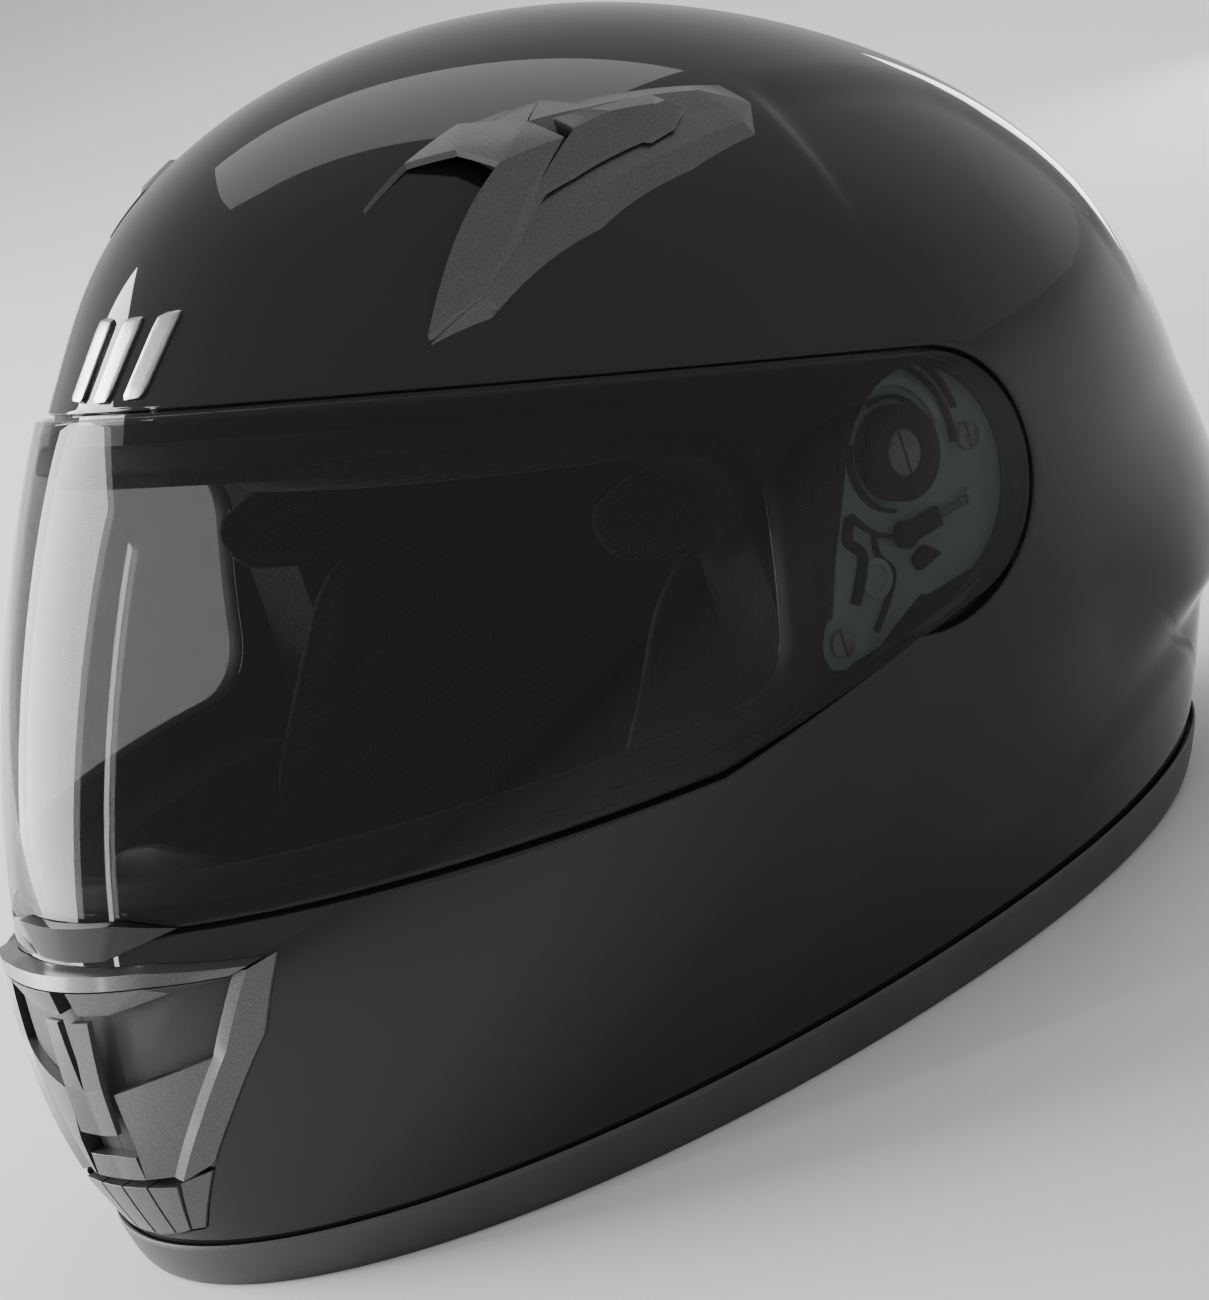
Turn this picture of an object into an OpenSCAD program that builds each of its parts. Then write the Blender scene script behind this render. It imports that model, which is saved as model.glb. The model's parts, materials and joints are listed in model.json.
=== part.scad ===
// Full-face motorcycle helmet, resting on its edge trim. +Z up, face towards -Y,
// wearer's left on +X, origin under the middle of the helmet on the surface it stands on.
// Side-view places are [y, z] measured from the visor pivot axis.

/* [Shell] */
// Half width of the shell at the visor pivots
half_width = 121; // [116:0.5:127]
// Height of the visor pivots above the rest surface
pivot_height = 134; // [128:0.5:140]
// Radius of the shell from the pivot axis, level in front
reach_front = 184.5; // [180:0.5:190]
// The same, 30 degrees above level (brow)
reach_brow = 157; // [152:0.5:162]
// The same, 60 degrees above level (forehead)
reach_forehead = 138.5; // [134:0.5:143]
// The same, straight up (crown)
reach_crown = 122.5; // [118:0.5:127]
// The same, 30 degrees behind the crown
reach_crown_back = 121.5; // [117:0.5:126]
// The same, 60 degrees behind the crown
reach_back = 137.5; // [133:0.5:142]
// The same, level behind
reach_nape = 165.5; // [161:0.5:170]
// The same, 30 degrees below level behind
reach_hem_back = 183; // [178:0.5:188]
// The same, 30 degrees below level in front (chin)
reach_chin = 233; // [227:0.5:239]
// Thickness of the shell wall
shell_wall = 4; // [3:0.5:5]
// How far the rear wing stands out
wing_out = 7; // [4:0.5:9]

/* [Visor] */
// Thickness of the visor
visor_wall = 2.2; // [1.8:0.1:3]
// Radius of the round end of the visor at the pivot
ear_r = 31.5; // [30:0.5:33]
// Gap between the visor's edge and the shell
visor_gap = 1.2; // [0.8:0.1:2]
// Height of the visor's lower edge below the pivot axis, at its lowest
sill_drop = 49; // [46:0.5:52]
// Half width of the lifting tab
tab_half = 19; // [14:0.5:24]

/* [Pivot mechanism] */
// Radius of the pivot boss on the base plate
boss_r = 6; // [5:0.1:7]
// Outer radius of the visor hub
hub_r = 12; // [10.5:0.1:13]
// Radial running clearance of the hub on its boss
hub_clear = 0.05; // [0.02:0.01:0.1]
// Thickness of the base plate
plate_t = 2; // [1.6:0.1:2.6]
// Radius of a screw shank
screw_r = 1.75; // [1.5:0.05:2]
// Travel of the release latch
latch_travel = 3; // [2:0.5:4]

/* [Vents] */
// Height of the top vent housings above the shell
top_vent_h = 6; // [5:0.5:8]
// Travel of the top vent sliders
slider_travel = 6; // [4:0.5:7]
// Height of the chin vent housing above the shell
chin_vent_h = 7; // [6:0.5:9]
// Travel of the chin vent slider
chin_travel = 5; // [3:0.5:6]

/* [Lining and straps] */
// Half width of the head space inside the foam
head_half = 84; // [81:0.5:87]
// Thickness of the comfort lining
lining_t = 6; // [4:0.5:8]
// Width of the chin strap
strap_w = 25; // [20:0.5:27]
// Thickness of the chin strap
strap_t = 2; // [1.6:0.1:2.5]
// Height of the edge trim
trim_h = 13; // [11:0.5:15]

/* [Hidden] */

// Shell form: radii from the pivot axis every 30 degrees, from the front upwards
below_back = 203.5;
below_mid = 235;
below_front = 251.5;
reaches = [reach_front, reach_brow, reach_forehead, reach_crown, reach_crown_back, reach_back,
    reach_nape, reach_hem_back, below_back, below_mid, below_front, reach_chin];
stations = len(reaches);
full_mid = 2.08; // exponent of the cross-sections
full_swing = 0.2;
full_angle = 35;
fine = [60, 20]; // meridians and parallels of an outside surface
coarse = [48, 16]; // the same inside
far = 260; // longer than any cut needs
wide = half_width + 20;
shell_low = 3; // height of the shell's lower edge

// Visor seat, in side view
visor_drop = 0.2; // visor's outside below the chin's surface
seat_depth = 4.6; // floor of the seat below the chin's surface
brow_step = 2.9; // brow below the chin's surface
brow_slope = 0.325; // fall of the visor's top edge towards the back
ear = [7, -10];
brow_angle = atan(brow_slope);
brow_rise = ear[1] + brow_slope * ear[0] + ear_r / cos(brow_angle); // top edge above the pivot
brow_gap = brow_rise * cos(brow_angle); // the top edge's distance from the pivot
sill_y = -80;
sill_slope = 0.083;
front_y = -230;
mid_y = -150;
edge_r = 2; // corner radius of the visor
sweep_clear = 1; // the visor's inside is made of flat facets
sweep_r = 156;
open_angle = 60;
sweep_more = 4;

// Pocket, plate and latch levels along X, out from the middle plane
pocket_x = half_width - 11.5;
plate_x = pocket_x + 0.1;
plate_top = plate_x + plate_t;
hub_top = form_x(0, hub_r, -visor_drop - visor_wall) - 0.4; // under the visor's inside
boss_top = hub_top - 1.2;
part_gap = 0.3; // between neighbours that don't fit together
pocket_extra = 7.8; // how much deeper the inside goes behind the pocket
seal_t = 1.6;
lower_screw = [-34, -36];
upper_screw = [26, -6];
latch_at = [-5, -20];
latch_len = 13;
latch_h = 5;
latch_t = 2.2;
spring_len = 8;
spring_r = 1.2;
spring_wire = 0.3;
spring_turns = 6;
screw_head_r = 3.6;
screw_head_h = 1.4;
slot_w = 0.9;
slot_d = 0.7;

// Lining
foam_gap = 0.5;
chin_foam = 20;
head_mid = [-2, 0]; // middle of the head space
head_long = 98;
head_high = 90;

// Straps
strap_y = 20;
strap_x = 78.5;
strap_top = 66;
strap_low = 5;
strap_bend = 70;
loop_x = 22;
loop_pitch = 7.5;
loop_wall = 1.4;
ring_bar_r = 2;
loop_r = ring_bar_r + 0.05;
loop_z = strap_low + strap_t + ring_bar_r + 0.5;
rivet_r = 5;

// Where the pieces stand
rib_out = 2; // chin vent slider proud of its housing
front_out = max([for (a = [-40:2:0]) reach(a) * cos(a)]) + chin_vent_h + rib_out;
back_out = max([for (a = [180:2:220]) let (r = reach(a)) -(r + wing(-r * cos(a), r * sin(a))) * cos(a)]);
datum_y = (front_out - back_out) / 2;

shell_col = [0.05, 0.05, 0.05];
smoke_col = [0.08, 0.09, 0.08, 0.8];
vent_col = [0.2, 0.2, 0.21];
trim_col = [0.25, 0.25, 0.25];
foam_col = [0.12, 0.12, 0.12];
plate_col = [0.16, 0.19, 0.17];
steel_col = [0.6, 0.6, 0.6];
cloth_col = [0.09, 0.09, 0.1];
web_col = [0.04, 0.04, 0.04];

// Smoothly closed curve through the radii: a periodic interpolation kernel for each station
function kern(t) = abs(sin(t / 2)) < 1e-6 ? 1 : sin(stations * t / 2) / (stations * tan(t / 2));
function reach(a) = [for (i = [0:stations - 1]) kern(a - 360 * i / stations)] * reaches;
function fullness(a) = full_mid - full_swing * cos(a - full_angle);
function ease(t) = let (c = min(1, max(0, t))) c * c * (3 - 2 * c);
function brow_line(y) = brow_rise - brow_slope * y;
function sill_line(y) = -sill_drop - sill_slope * min(0, y - sill_y);
function angle_of(y, z) = atan2(z, -y);

// How far the outside leaves its plain form: lowered over the brow, raised at the rear wing
function brow(y, z) = -brow_step * (1 - ease((z - brow_line(y) - 8) / 45)) * (1 - ease((y + 10) / 50))
    * ease((z + 20) / 20);
function wing(y, z) = wing_out * ease((y - 50) / 70) * min(ease((-25 - z) / 50), ease((z + 93) / 17));
function outside(y, z) = brow(y, z) + wing(y, z);

// How far the inside lies below the plain form: the wall, deeper behind the visor seat and pocket
function inside(y, z) = -shell_wall
    - seat_depth * ease((48 - y) / 25) * ease((z + 64) / 12) * ease((brow_line(y) + 32 - z) / 22)
    - pocket_extra * ease((78 - norm([y, z])) / 30);

// A point of the form: across by latitude b, round the pivot axis by angle a, raised by d
function form_point(a, b, d) = let (n = fullness(a), r = (reach(a) + d) * pow(cos(b), 2 / n))
    [(half_width + d) * sign(b) * pow(abs(sin(b)), 2 / n), -r * cos(a), r * sin(a)];
// Half width of the form at a place in side view
function form_x(y, z, d) = let (a = angle_of(y, z), n = fullness(a))
    (half_width + d) * pow(max(0, 1 - pow(norm([y, z]) / (reach(a) + d), n)), 1 / n);
function shaped(a, b, mode, d) = let (p = form_point(a, b, 0))
    form_point(a, b, d + (mode == "outside" ? outside(p[1], p[2]) : mode == "inside" ? inside(p[1], p[2]) : 0));

// Closed solid inside the form: mode picks the outside, the inside or the plain surface
module form(d, mode, grid) {
    m = grid[0];
    k = grid[1];
    rings = [for (j = [1:k - 1]) for (i = [0:m - 1]) shaped(360 * i / m, -90 + 180 * j / k, mode, d)];
    poles = [for (s = [-1, 1]) form_point(0, s * 90, d + (mode == "inside" ? inside(0, 0) : 0))];
    n = len(rings);
    sides = [for (j = [0:k - 3]) for (i = [0:m - 1]) let (a = j * m + i, b = j * m + (i + 1) % m)
        each [[a, b, a + m], [b, b + m, a + m]]];
    low = [for (i = [0:m - 1]) [n, (i + 1) % m, i]];
    top = [for (i = [0:m - 1]) let (o = (k - 2) * m) [n + 1, o + i, o + (i + 1) % m]];
    translate([0, 0, pivot_height])
        polyhedron(concat(rings, poles), concat(sides, low, top), convexity = 6);
}

module place() {
    translate([0, datum_y, 0])
        children();
}

// Turns a side-view outline into a bar across the helmet
module across(x0, x1) {
    translate([x0, 0, pivot_height])
        rotate([90, 0, 90])
            linear_extrude(x1 - x0)
                children();
}

// Turns a front-view outline [x, z] into a bar along Y
module along(y0, y1) {
    translate([0, y1, pivot_height])
        rotate([90, 0, 0])
            linear_extrude(y1 - y0)
                children();
}

module upright(z0, z1) {
    translate([0, 0, pivot_height + z0])
        linear_extrude(z1 - z0)
            children();
}

module both_sides() {
    children();
    mirror([1, 0, 0])
        children();
}

// Rounded outline: corners [u, v, radius], each pair joined to the middle
function round_steps(r) = r > 5 ? 48 : 12;
module rounded(corners) {
    mid = [for (i = [0, 1]) [for (c = corners) c[i]] * [for (c = corners) 1] / len(corners)];
    for (i = [0:len(corners) - 1]) {
        c = corners[i];
        e = corners[(i + 1) % len(corners)];
        hull() {
            translate(mid)
                circle(0.5, $fn = 12);
            translate([c[0], c[1]])
                circle(c[2], $fn = round_steps(c[2]));
            translate([e[0], e[1]])
                circle(e[2], $fn = round_steps(e[2]));
        }
    }
}

// Visor outline in side view, grown by g
module visor_outline(g) {
    rounded([[ear[0], ear[1], ear_r + g],
        [mid_y, brow_line(mid_y) - edge_r / cos(brow_angle), edge_r + g],
        [front_y, brow_line(front_y) - edge_r / cos(brow_angle), edge_r + g],
        [front_y, sill_line(front_y) + edge_r, edge_r + g],
        [mid_y, sill_line(mid_y) + edge_r, edge_r + g],
        [sill_y, sill_line(sill_y) + edge_r, edge_r + g]]);
}

// Seat of the closed visor, with room for its round end as it turns
module seat_outline() {
    visor_outline(visor_gap);
    for (turn = [0:20:open_angle])
        rotate(-turn)
            translate(ear)
                circle(ear_r + visor_gap, $fn = 64);
}

port_r = 20;
port_back = -58;
port_low_r = 17;
port_below = 13.7;
port_above = 10;
module port_outline(g) {
    rounded([[port_back, brow_line(port_back) - port_below - port_r / cos(brow_angle), port_r + g],
        [front_y, brow_line(front_y) - port_below - edge_r, edge_r + g],
        [front_y, sill_line(front_y) + port_above + edge_r, edge_r + g],
        [port_back - 6, sill_line(port_back) + port_above + port_low_r, port_low_r + g]]);
}

// Inner face of the visor at a distance r from the pivot axis, where it comes nearest the shell
function edge_angle(r) = 90 + brow_angle - (r > brow_gap ? acos(brow_gap / r) : 0);
function sweep_x(r) = let (a = edge_angle(r))
    form_x(-r * cos(a), r * sin(a), -visor_drop - visor_wall) - sweep_clear;

// Side-view half plane on the pivot's side of the visor's top edge, with the visor turned
module below_edge(turn) {
    rotate(-brow_angle - turn)
        translate([-far, -far])
            square([2 * far, far + brow_gap]);
}

// Room above the visor's top edge that it sweeps through as it opens
module sweep_room() {
    intersection() {
        translate([0, 0, pivot_height])
            rotate([0, 90, 0])
                rotate_extrude($fn = 72)
                    polygon(concat([for (r = [0:4:sweep_r]) [r, sweep_x(r)]], [[sweep_r, wide], [0, wide]]));
        across(0, wide)
            difference() {
                below_edge(open_angle + sweep_more);
                below_edge(0);
            }
    }
}

pocket_rim = 3;
module pocket_outline(g) {
    hull() {
        translate(ear)
            circle(ear_r - pocket_rim + g, $fn = 48);
        translate(lower_screw)
            circle(screw_head_r + 4 + g, $fn = 32);
    }
}

vent_holes = [[62, -52, 3], [72, -38, 3]];
module vent_hole(c) {
    hull()
        for (s = [-1, 1])
            translate([c[0], c[1] + 7 * s, 0])
                cylinder(r = c[2], h = far, $fn = 16);
}

chin_hole = [17, -70];
module outer_shell() {
    color(shell_col)
        place()
            difference() {
                intersection() {
                    form(0, "outside", fine);
                    translate([-wide, -far, shell_low])
                        cube([2 * wide, 2 * far, 2 * far]);
                }
                form(0, "inside", coarse);
                difference() {
                    across(-wide, wide)
                        seat_outline();
                    form(-seat_depth, "plain", fine);
                }
                across(-wide, wide)
                    port_outline(0);
                both_sides() {
                    across(pocket_x, wide)
                        pocket_outline(0);
                    sweep_room();
                    for (c = spread(vent_holes))
                        translate([0, 0, pivot_height])
                            vent_hole(c);
                    along(front_y, -120)
                        hull()
                            for (s = [-1, 1])
                                translate([chin_hole[0] + 6 * s, chin_hole[1]])
                                    circle(5, $fn = 24);
                }
            }
}

// Head space: a dome over a straight neck, rounder than an ellipse in plan
function squarish(t, a, b, n) =
    [a * sign(cos(t)) * pow(abs(cos(t)), 2 / n), b * sign(sin(t)) * pow(abs(sin(t)), 2 / n)];
head_n = 2.6;
module head_room(g) {
    translate([0, head_mid[0], pivot_height + head_mid[1]])
        scale([head_half + g, head_long + g, head_high + g] / 100)
            sphere(100, $fn = 32);
    translate([0, head_mid[0], -1])
        linear_extrude(pivot_height + head_mid[1] + 1)
            polygon([for (t = [0:9:351]) squarish(t, head_half + g, head_long + g, head_n)]);
}

face_back = -42;
liner_low = 16;
module face_room() {
    across(-wide, wide)
        rounded([[face_back - 12, brow_line(face_back) - port_below - 16, 12],
            [front_y, brow_line(front_y) - port_below - 4, edge_r],
            [front_y, -far, edge_r], [face_back - 12, -far, 12]]);
}

module crown_liner() {
    color(foam_col)
        place()
            difference() {
                intersection() {
                    form(-foam_gap, "inside", coarse);
                    translate([-wide, -far, liner_low])
                        cube([2 * wide, 2 * far, 2 * far]);
                }
                head_room(0);
                face_room();
                for (y = [-40:40:80])
                    hull()
                        for (s = [-1, 1])
                            translate([0, y + 8 * s, pivot_height + head_high - 6])
                                cylinder(r = 5, h = 14, $fn = 24);
            }
}

chin_top = 10;
module chin_liner() {
    color(foam_col)
        place()
            difference() {
                intersection() {
                    form(-foam_gap, "inside", coarse);
                    across(-wide, wide)
                        rounded([[face_back - 22, -far, 2],
                            [face_back - 22, sill_line(face_back) - chin_top, 8],
                            [-120, sill_line(-120) - chin_top + 8, 2],
                            [front_y, sill_line(front_y) - chin_top + 8, 2], [front_y, -far, 2]]);
                    translate([-wide, -far, liner_low])
                        cube([2 * wide, 2 * far, 2 * far]);
                }
                form(-foam_gap - chin_foam, "inside", coarse);
                for (x = [-30:30:30])
                    hull()
                        for (s = [-1, 1])
                            translate([x + 6 * s, -150, pivot_height - 72])
                                rotate([90, 0, 0])
                                    cylinder(r = 3, h = 90, $fn = 16);
            }
}

// Plan outline of the form at a height, by halving the way out until the surface is met
function within(p, d) = let (a = angle_of(p[1], p[2]), n = fullness(a))
    pow(norm([p[1], p[2]]) / (reach(a) + d), n) + pow(abs(p[0]) / (half_width + d), n) < 1;
function meet(t, z, d, lo, hi, steps) = steps == 0 ? (lo + hi) / 2 :
    let (m = (lo + hi) / 2) within([m * cos(t), m * sin(t), z], d) ? meet(t, z, d, m, hi, steps - 1)
        : meet(t, z, d, lo, m, steps - 1);
function hem_point(t, z, d) = let (r = meet(t, z, d, 40, far, 14)) [r * cos(t), r * sin(t), z];

// Ring round the lower edge: profile points are [offset, height]
module hem_ring(profile, count) {
    m = len(profile);
    points = [for (i = [0:count - 1]) for (p = profile) hem_point(360 * i / count, p[1] - pivot_height, p[0])];
    faces = [for (i = [0:count - 1]) for (j = [0:m - 1]) let (a = i * m + j, b = i * m + (j + 1) % m,
        o = ((i + 1) % count - i) * m) each [[a, b, a + o], [b, b + o, a + o]]];
    translate([0, 0, pivot_height])
        polyhedron(points, faces, convexity = 4);
}

trim_out = 1.8;
trim_seat = 0.5;
trim_in = 3;
trim_back = 1.8; // the shell's inside is made of flatter facets here
module edge_trim() {
    color(trim_col)
        place()
            hem_ring([[trim_out - 1.2, 0], [trim_out, 3], [trim_out - 0.4, trim_h], [trim_seat, trim_h],
                [trim_seat, shell_low - trim_seat], [-shell_wall - trim_back, shell_low - trim_seat],
                [-shell_wall - trim_back, trim_h - 3], [-shell_wall - trim_back - trim_in, trim_h - 3],
                [-shell_wall - trim_back - trim_in, 0]], 72);
}

module eye_port_gasket() {
    color(web_col)
        place()
            intersection() {
                difference() {
                    form(-seat_depth + seal_t + 0.1, "plain", fine);
                    form(-seat_depth + 0.1, "plain", fine);
                }
                difference() {
                    across(-wide, wide)
                        port_outline(6);
                    across(-wide, wide)
                        port_outline(0.5);
                }
            }
}

// Places given for the usual half width, moved across with it
usual_half = 121;
function spread(corners) = [for (c = corners) [c[0] * half_width / usual_half, c[1], c[2]]];

top_vent = [[53, -82, 1.5], [55, -52, 2], [67, -9, 2], [73, 12, 2], [79, 17, 2], [85, 9, 2], [84, -30, 2],
    [78, -77, 2], [71, -91, 1.5]];
slider_place = [[67, -36, 1], [72, -14, 1], [75, -6, 1], [80, -15, 1], [80, -44, 1], [76, -54, 1]];
slider_dir = [0.08, 0.953, 0.291];
slider_seat = 2.4;
vent_low = 30;
vent_high = 140;
mouth = [[56, -84, 1], [58, -60, 1], [70, -62, 1], [71, -86, 1]];

module top_vent() {
    color(vent_col)
        place()
            difference() {
                intersection() {
                    form(top_vent_h, "outside", fine);
                    upright(vent_low, vent_high)
                        rounded(spread(top_vent));
                }
                form(part_gap, "outside", fine);
                sweep_room();
                intersection() {
                    form(top_vent_h - 1.8, "outside", fine);
                    upright(vent_low, vent_high)
                        translate([0, -6])
                            rounded(spread(mouth));
                }
                difference() {
                    upright(vent_low, vent_high)
                        hull()
                            for (s = [0, slider_travel + 1])
                                for (c = spread(slider_place))
                                    translate([c[0] + s * slider_dir[0], c[1] + s * slider_dir[1]])
                                        circle(c[2] + part_gap, $fn = 16);
                    form(top_vent_h - slider_seat, "outside", fine);
                }
            }
}

module top_vent_left() {
    top_vent();
}

module top_vent_right() {
    mirror([1, 0, 0])
        top_vent();
}

slider_gap = 0.6;
module top_vent_slider() {
    color(vent_col)
        place()
            difference() {
                intersection() {
                    form(top_vent_h + 1.6, "outside", fine);
                    upright(vent_low, vent_high)
                        rounded(spread(slider_place));
                }
                form(top_vent_h - slider_seat + slider_gap, "outside", fine);
                sweep_room();
                for (s = [0, 1])
                    translate([60, -40 + 12 * s, pivot_height + 106])
                        hull()
                            for (t = [0, 1])
                                translate([30 * t, -4 * t, 0])
                                    sphere(1.5, $fn = 12);
            }
}

module top_vent_slider_left() {
    top_vent_slider();
}

module top_vent_slider_right() {
    mirror([1, 0, 0])
        top_vent_slider();
}

vent_top = -51;
vent_mid = -68;
vent_bottom = -117;
chin_outline = [[-52, vent_top, 1.5], [0, vent_top + 1, 1.5], [52, vent_top, 1.5], [48, vent_mid, 1.5],
    [26, -99, 1.5], [15, vent_bottom, 1.5], [-15, vent_bottom, 1.5], [-26, -99, 1.5], [-48, vent_mid, 1.5]];
inlet = [[14, -57, 1], [42, -58, 1], [36, -72, 1], [14, -80, 1]];
rib_half = 8;
rib_low = -88;
rib_top = -60;
rib_room = 0.5;
module chin_vent_housing() {
    color(vent_col)
        place()
            difference() {
                intersection() {
                    form(chin_vent_h, "plain", fine);
                    along(front_y, -110)
                        rounded(chin_outline);
                }
                form(part_gap, "plain", fine);
                both_sides()
                    along(front_y, -110)
                        rounded(inlet);
                difference() {
                    along(front_y, -110)
                        translate([-rib_half - rib_room, rib_low - chin_travel - rib_room])
                            square([2 * (rib_half + rib_room), rib_top - rib_low + chin_travel + 2 * rib_room]);
                    form(chin_vent_h - 3, "plain", fine);
                }
                for (x = [-9:6:9])
                    along(front_y, -190)
                        hull()
                            for (z = [-104, -113])
                                translate([x, z])
                                    circle(0.8, $fn = 12);
            }
}

module chin_vent_slider() {
    color(vent_col)
        place()
            difference() {
                intersection() {
                    form(chin_vent_h + rib_out, "plain", fine);
                    along(front_y, -150)
                        rounded([[-rib_half + 1, rib_top - 1, 1], [rib_half - 1, rib_top - 1, 1],
                            [rib_half - 1, rib_low + 1, 1], [-rib_half + 1, rib_low + 1, 1]]);
                }
                form(chin_vent_h - 3 + slider_gap, "plain", fine);
                for (z = [rib_low + 8:5:rib_top - 5])
                    translate([0, 0, pivot_height])
                        hull()
                            for (s = [-1, 1])
                                translate(hem_point(270, z, chin_vent_h + rib_out) + [5 * s, 0, 0])
                                    sphere(1, $fn = 12);
            }
}

module chin_vent_grille() {
    color(web_col)
        place()
            both_sides()
                intersection() {
                    difference() {
                        form(2.4, "plain", fine);
                        form(0.9, "plain", fine);
                    }
                    along(front_y, -110)
                        difference() {
                            offset(-part_gap)
                                rounded(inlet);
                            for (z = [-76:4:-60])
                                hull()
                                    for (x = [16, 32])
                                        translate([x, z])
                                            circle(1, $fn = 12);
                        }
                }
}

tab_low = -46;
tab_top = -36;
tab_out = 4;
module visor() {
    color(smoke_col)
        place() {
            difference() {
                intersection() {
                    form(-visor_drop, "plain", fine);
                    across(-wide, wide)
                        visor_outline(0);
                }
                form(-visor_drop - visor_wall, "plain", fine);
            }
            difference() {
                intersection() {
                    form(tab_out, "plain", fine);
                    along(front_y, -150)
                        rounded([[-tab_half, tab_top, 1], [tab_half, tab_top, 1], [tab_half - 5, tab_low, 1],
                            [5 - tab_half, tab_low, 1]]);
                }
                form(part_gap, "plain", fine);
            }
            difference() {
                intersection() {
                    form(tab_out, "plain", fine);
                    along(front_y, -150)
                        translate([-tab_half, tab_top - 1])
                            square([2 * tab_half, 2]);
                    across(-tab_half, tab_half)
                        visor_outline(0);
                }
                form(-visor_drop - visor_wall / 2, "plain", fine);
            }
        }
}

// Pieces that turn about, or sit round, a place in side view: h along X from x0
module disc(at, x0, r, h) {
    translate([x0, at[0], pivot_height + at[1]])
        rotate([0, 90, 0])
            cylinder(r = r, h = h, $fn = 64);
}

module slotted_screw(at, seat, r, head_r, head_h, depth) {
    difference() {
        union() {
            disc(at, seat - depth, r, depth);
            disc(at, seat, head_r, head_h);
        }
        translate([seat + head_h - slot_d, at[0] - slot_w / 2, pivot_height + at[1] - head_r - 1])
            cube([slot_d + 1, slot_w, 2 * head_r + 2]);
    }
}

module visor_hub() {
    color(plate_col)
        place()
            difference() {
                disc([0, 0], plate_top + part_gap, hub_r, hub_top - plate_top - part_gap);
                disc([0, 0], plate_top, boss_r + hub_clear, half_width);
            }
}

module visor_hub_left() {
    visor_hub();
}

module visor_hub_right() {
    mirror([1, 0, 0])
        visor_hub();
}

plate_tip = [-14, -39];
module base_plate() {
    color(plate_col)
        place()
            difference() {
                union() {
                    across(plate_x, plate_top) {
                        intersection() {
                            translate(ear)
                                circle(ear_r - pocket_rim - part_gap, $fn = 64);
                            translate([-22, -37])
                                square([60, 58]);
                        }
                        polygon([[-21, -6], [-34, -30], [-40, -36], [-34, -42], [-22, -42], plate_tip,
                            [2, -34]]);
                        translate(lower_screw)
                            circle(6.5, $fn = 32);
                    }
                    disc([0, 0], plate_top - 0.5, boss_r, boss_top - plate_top + 0.5);
                    across(plate_top - 0.5, plate_top + 1.6)
                        intersection() {
                            difference() {
                                circle(19, $fn = 64);
                                circle(16.6, $fn = 64);
                                translate([-30, -30])
                                    square([60, 31]);
                            }
                            translate(ear)
                                circle(ear_r - pocket_rim - part_gap, $fn = 64);
                        }
                    across(plate_top - 0.5, plate_top + 1.4)
                        translate([-17, -26])
                            difference() {
                                circle(5, $fn = 32);
                                circle(3.4, $fn = 32);
                            }
                    across(plate_top - 0.5, plate_top + latch_t)
                        translate([latch_at[0] + latch_len + latch_travel + spring_len, latch_at[1] - 2])
                            square([2, 4]);
                }
                disc([0, 0], plate_x - 1, screw_r + 0.1, half_width);
                for (at = [lower_screw, upper_screw])
                    disc(at, plate_x - 1, screw_r + 0.1, plate_t + 2);
                across(plate_x - 1, plate_top + 1)
                    for (c = [[-18, 8], [-8, 18]])
                        translate(c)
                            square([4, 4], center = true);
            }
}

module base_plate_left() {
    base_plate();
}

module base_plate_right() {
    mirror([1, 0, 0])
        base_plate();
}

module base_plate_screws() {
    color(steel_col)
        place()
            for (at = [lower_screw, upper_screw])
                slotted_screw(at, plate_top + 0.05, screw_r, screw_head_r, screw_head_h, plate_t);
}

module base_plate_screws_left() {
    base_plate_screws();
}

module base_plate_screws_right() {
    mirror([1, 0, 0])
        base_plate_screws();
}

module pivot_screw() {
    color(steel_col)
        place()
            slotted_screw([0, 0], boss_top + 0.05, screw_r, boss_r - 0.6, 0.9, boss_top - plate_x);
}

module pivot_screw_left() {
    pivot_screw();
}

module pivot_screw_right() {
    mirror([1, 0, 0])
        pivot_screw();
}

module visor_latch() {
    color(plate_col)
        place()
            across(plate_top + part_gap, plate_top + part_gap + latch_t) {
                translate(latch_at)
                    translate([0, -latch_h / 2])
                        square([latch_len, latch_h]);
                translate(latch_at)
                    translate([1, 0])
                        circle(latch_h / 2 + 1, $fn = 32);
            }
}

module visor_latch_left() {
    visor_latch();
}

module visor_latch_right() {
    mirror([1, 0, 0])
        visor_latch();
}

// Turns between the latch's end and the lug on the plate
module latch_spring() {
    room = spring_len + latch_travel - 2 * part_gap;
    start = [plate_top + part_gap + spring_r + 0.1, latch_at[0] + latch_len + part_gap, latch_at[1]];
    color(steel_col)
        place()
            for (i = [0:spring_turns])
                translate([start[0], start[1] + spring_wire + i * (room - 2 * spring_wire) / spring_turns,
                    pivot_height + start[2]])
                    rotate([90, 0, 0])
                        rotate_extrude($fn = 24)
                            translate([spring_r - spring_wire, 0])
                                circle(spring_wire, $fn = 16);
}

module latch_spring_left() {
    latch_spring();
}

module latch_spring_right() {
    mirror([1, 0, 0])
        latch_spring();
}

pad_low = 14;
module crown_pad() {
    color(cloth_col)
        place()
            difference() {
                intersection() {
                    head_room(-part_gap);
                    across(-wide, wide)
                        rounded([[-96, brow_line(-96) - 24, 3], [-96, 120, 3], [110, 120, 3], [110, pad_low, 3],
                            [-20, pad_low, 3]]);
                }
                head_room(-part_gap - lining_t);
                for (x = [-44, 0, 44])
                    hull()
                        for (y = [-30, 50])
                            translate([x, y, pivot_height + 40])
                                cylinder(r = 4, h = far / 2, $fn = 24);
            }
}

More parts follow.
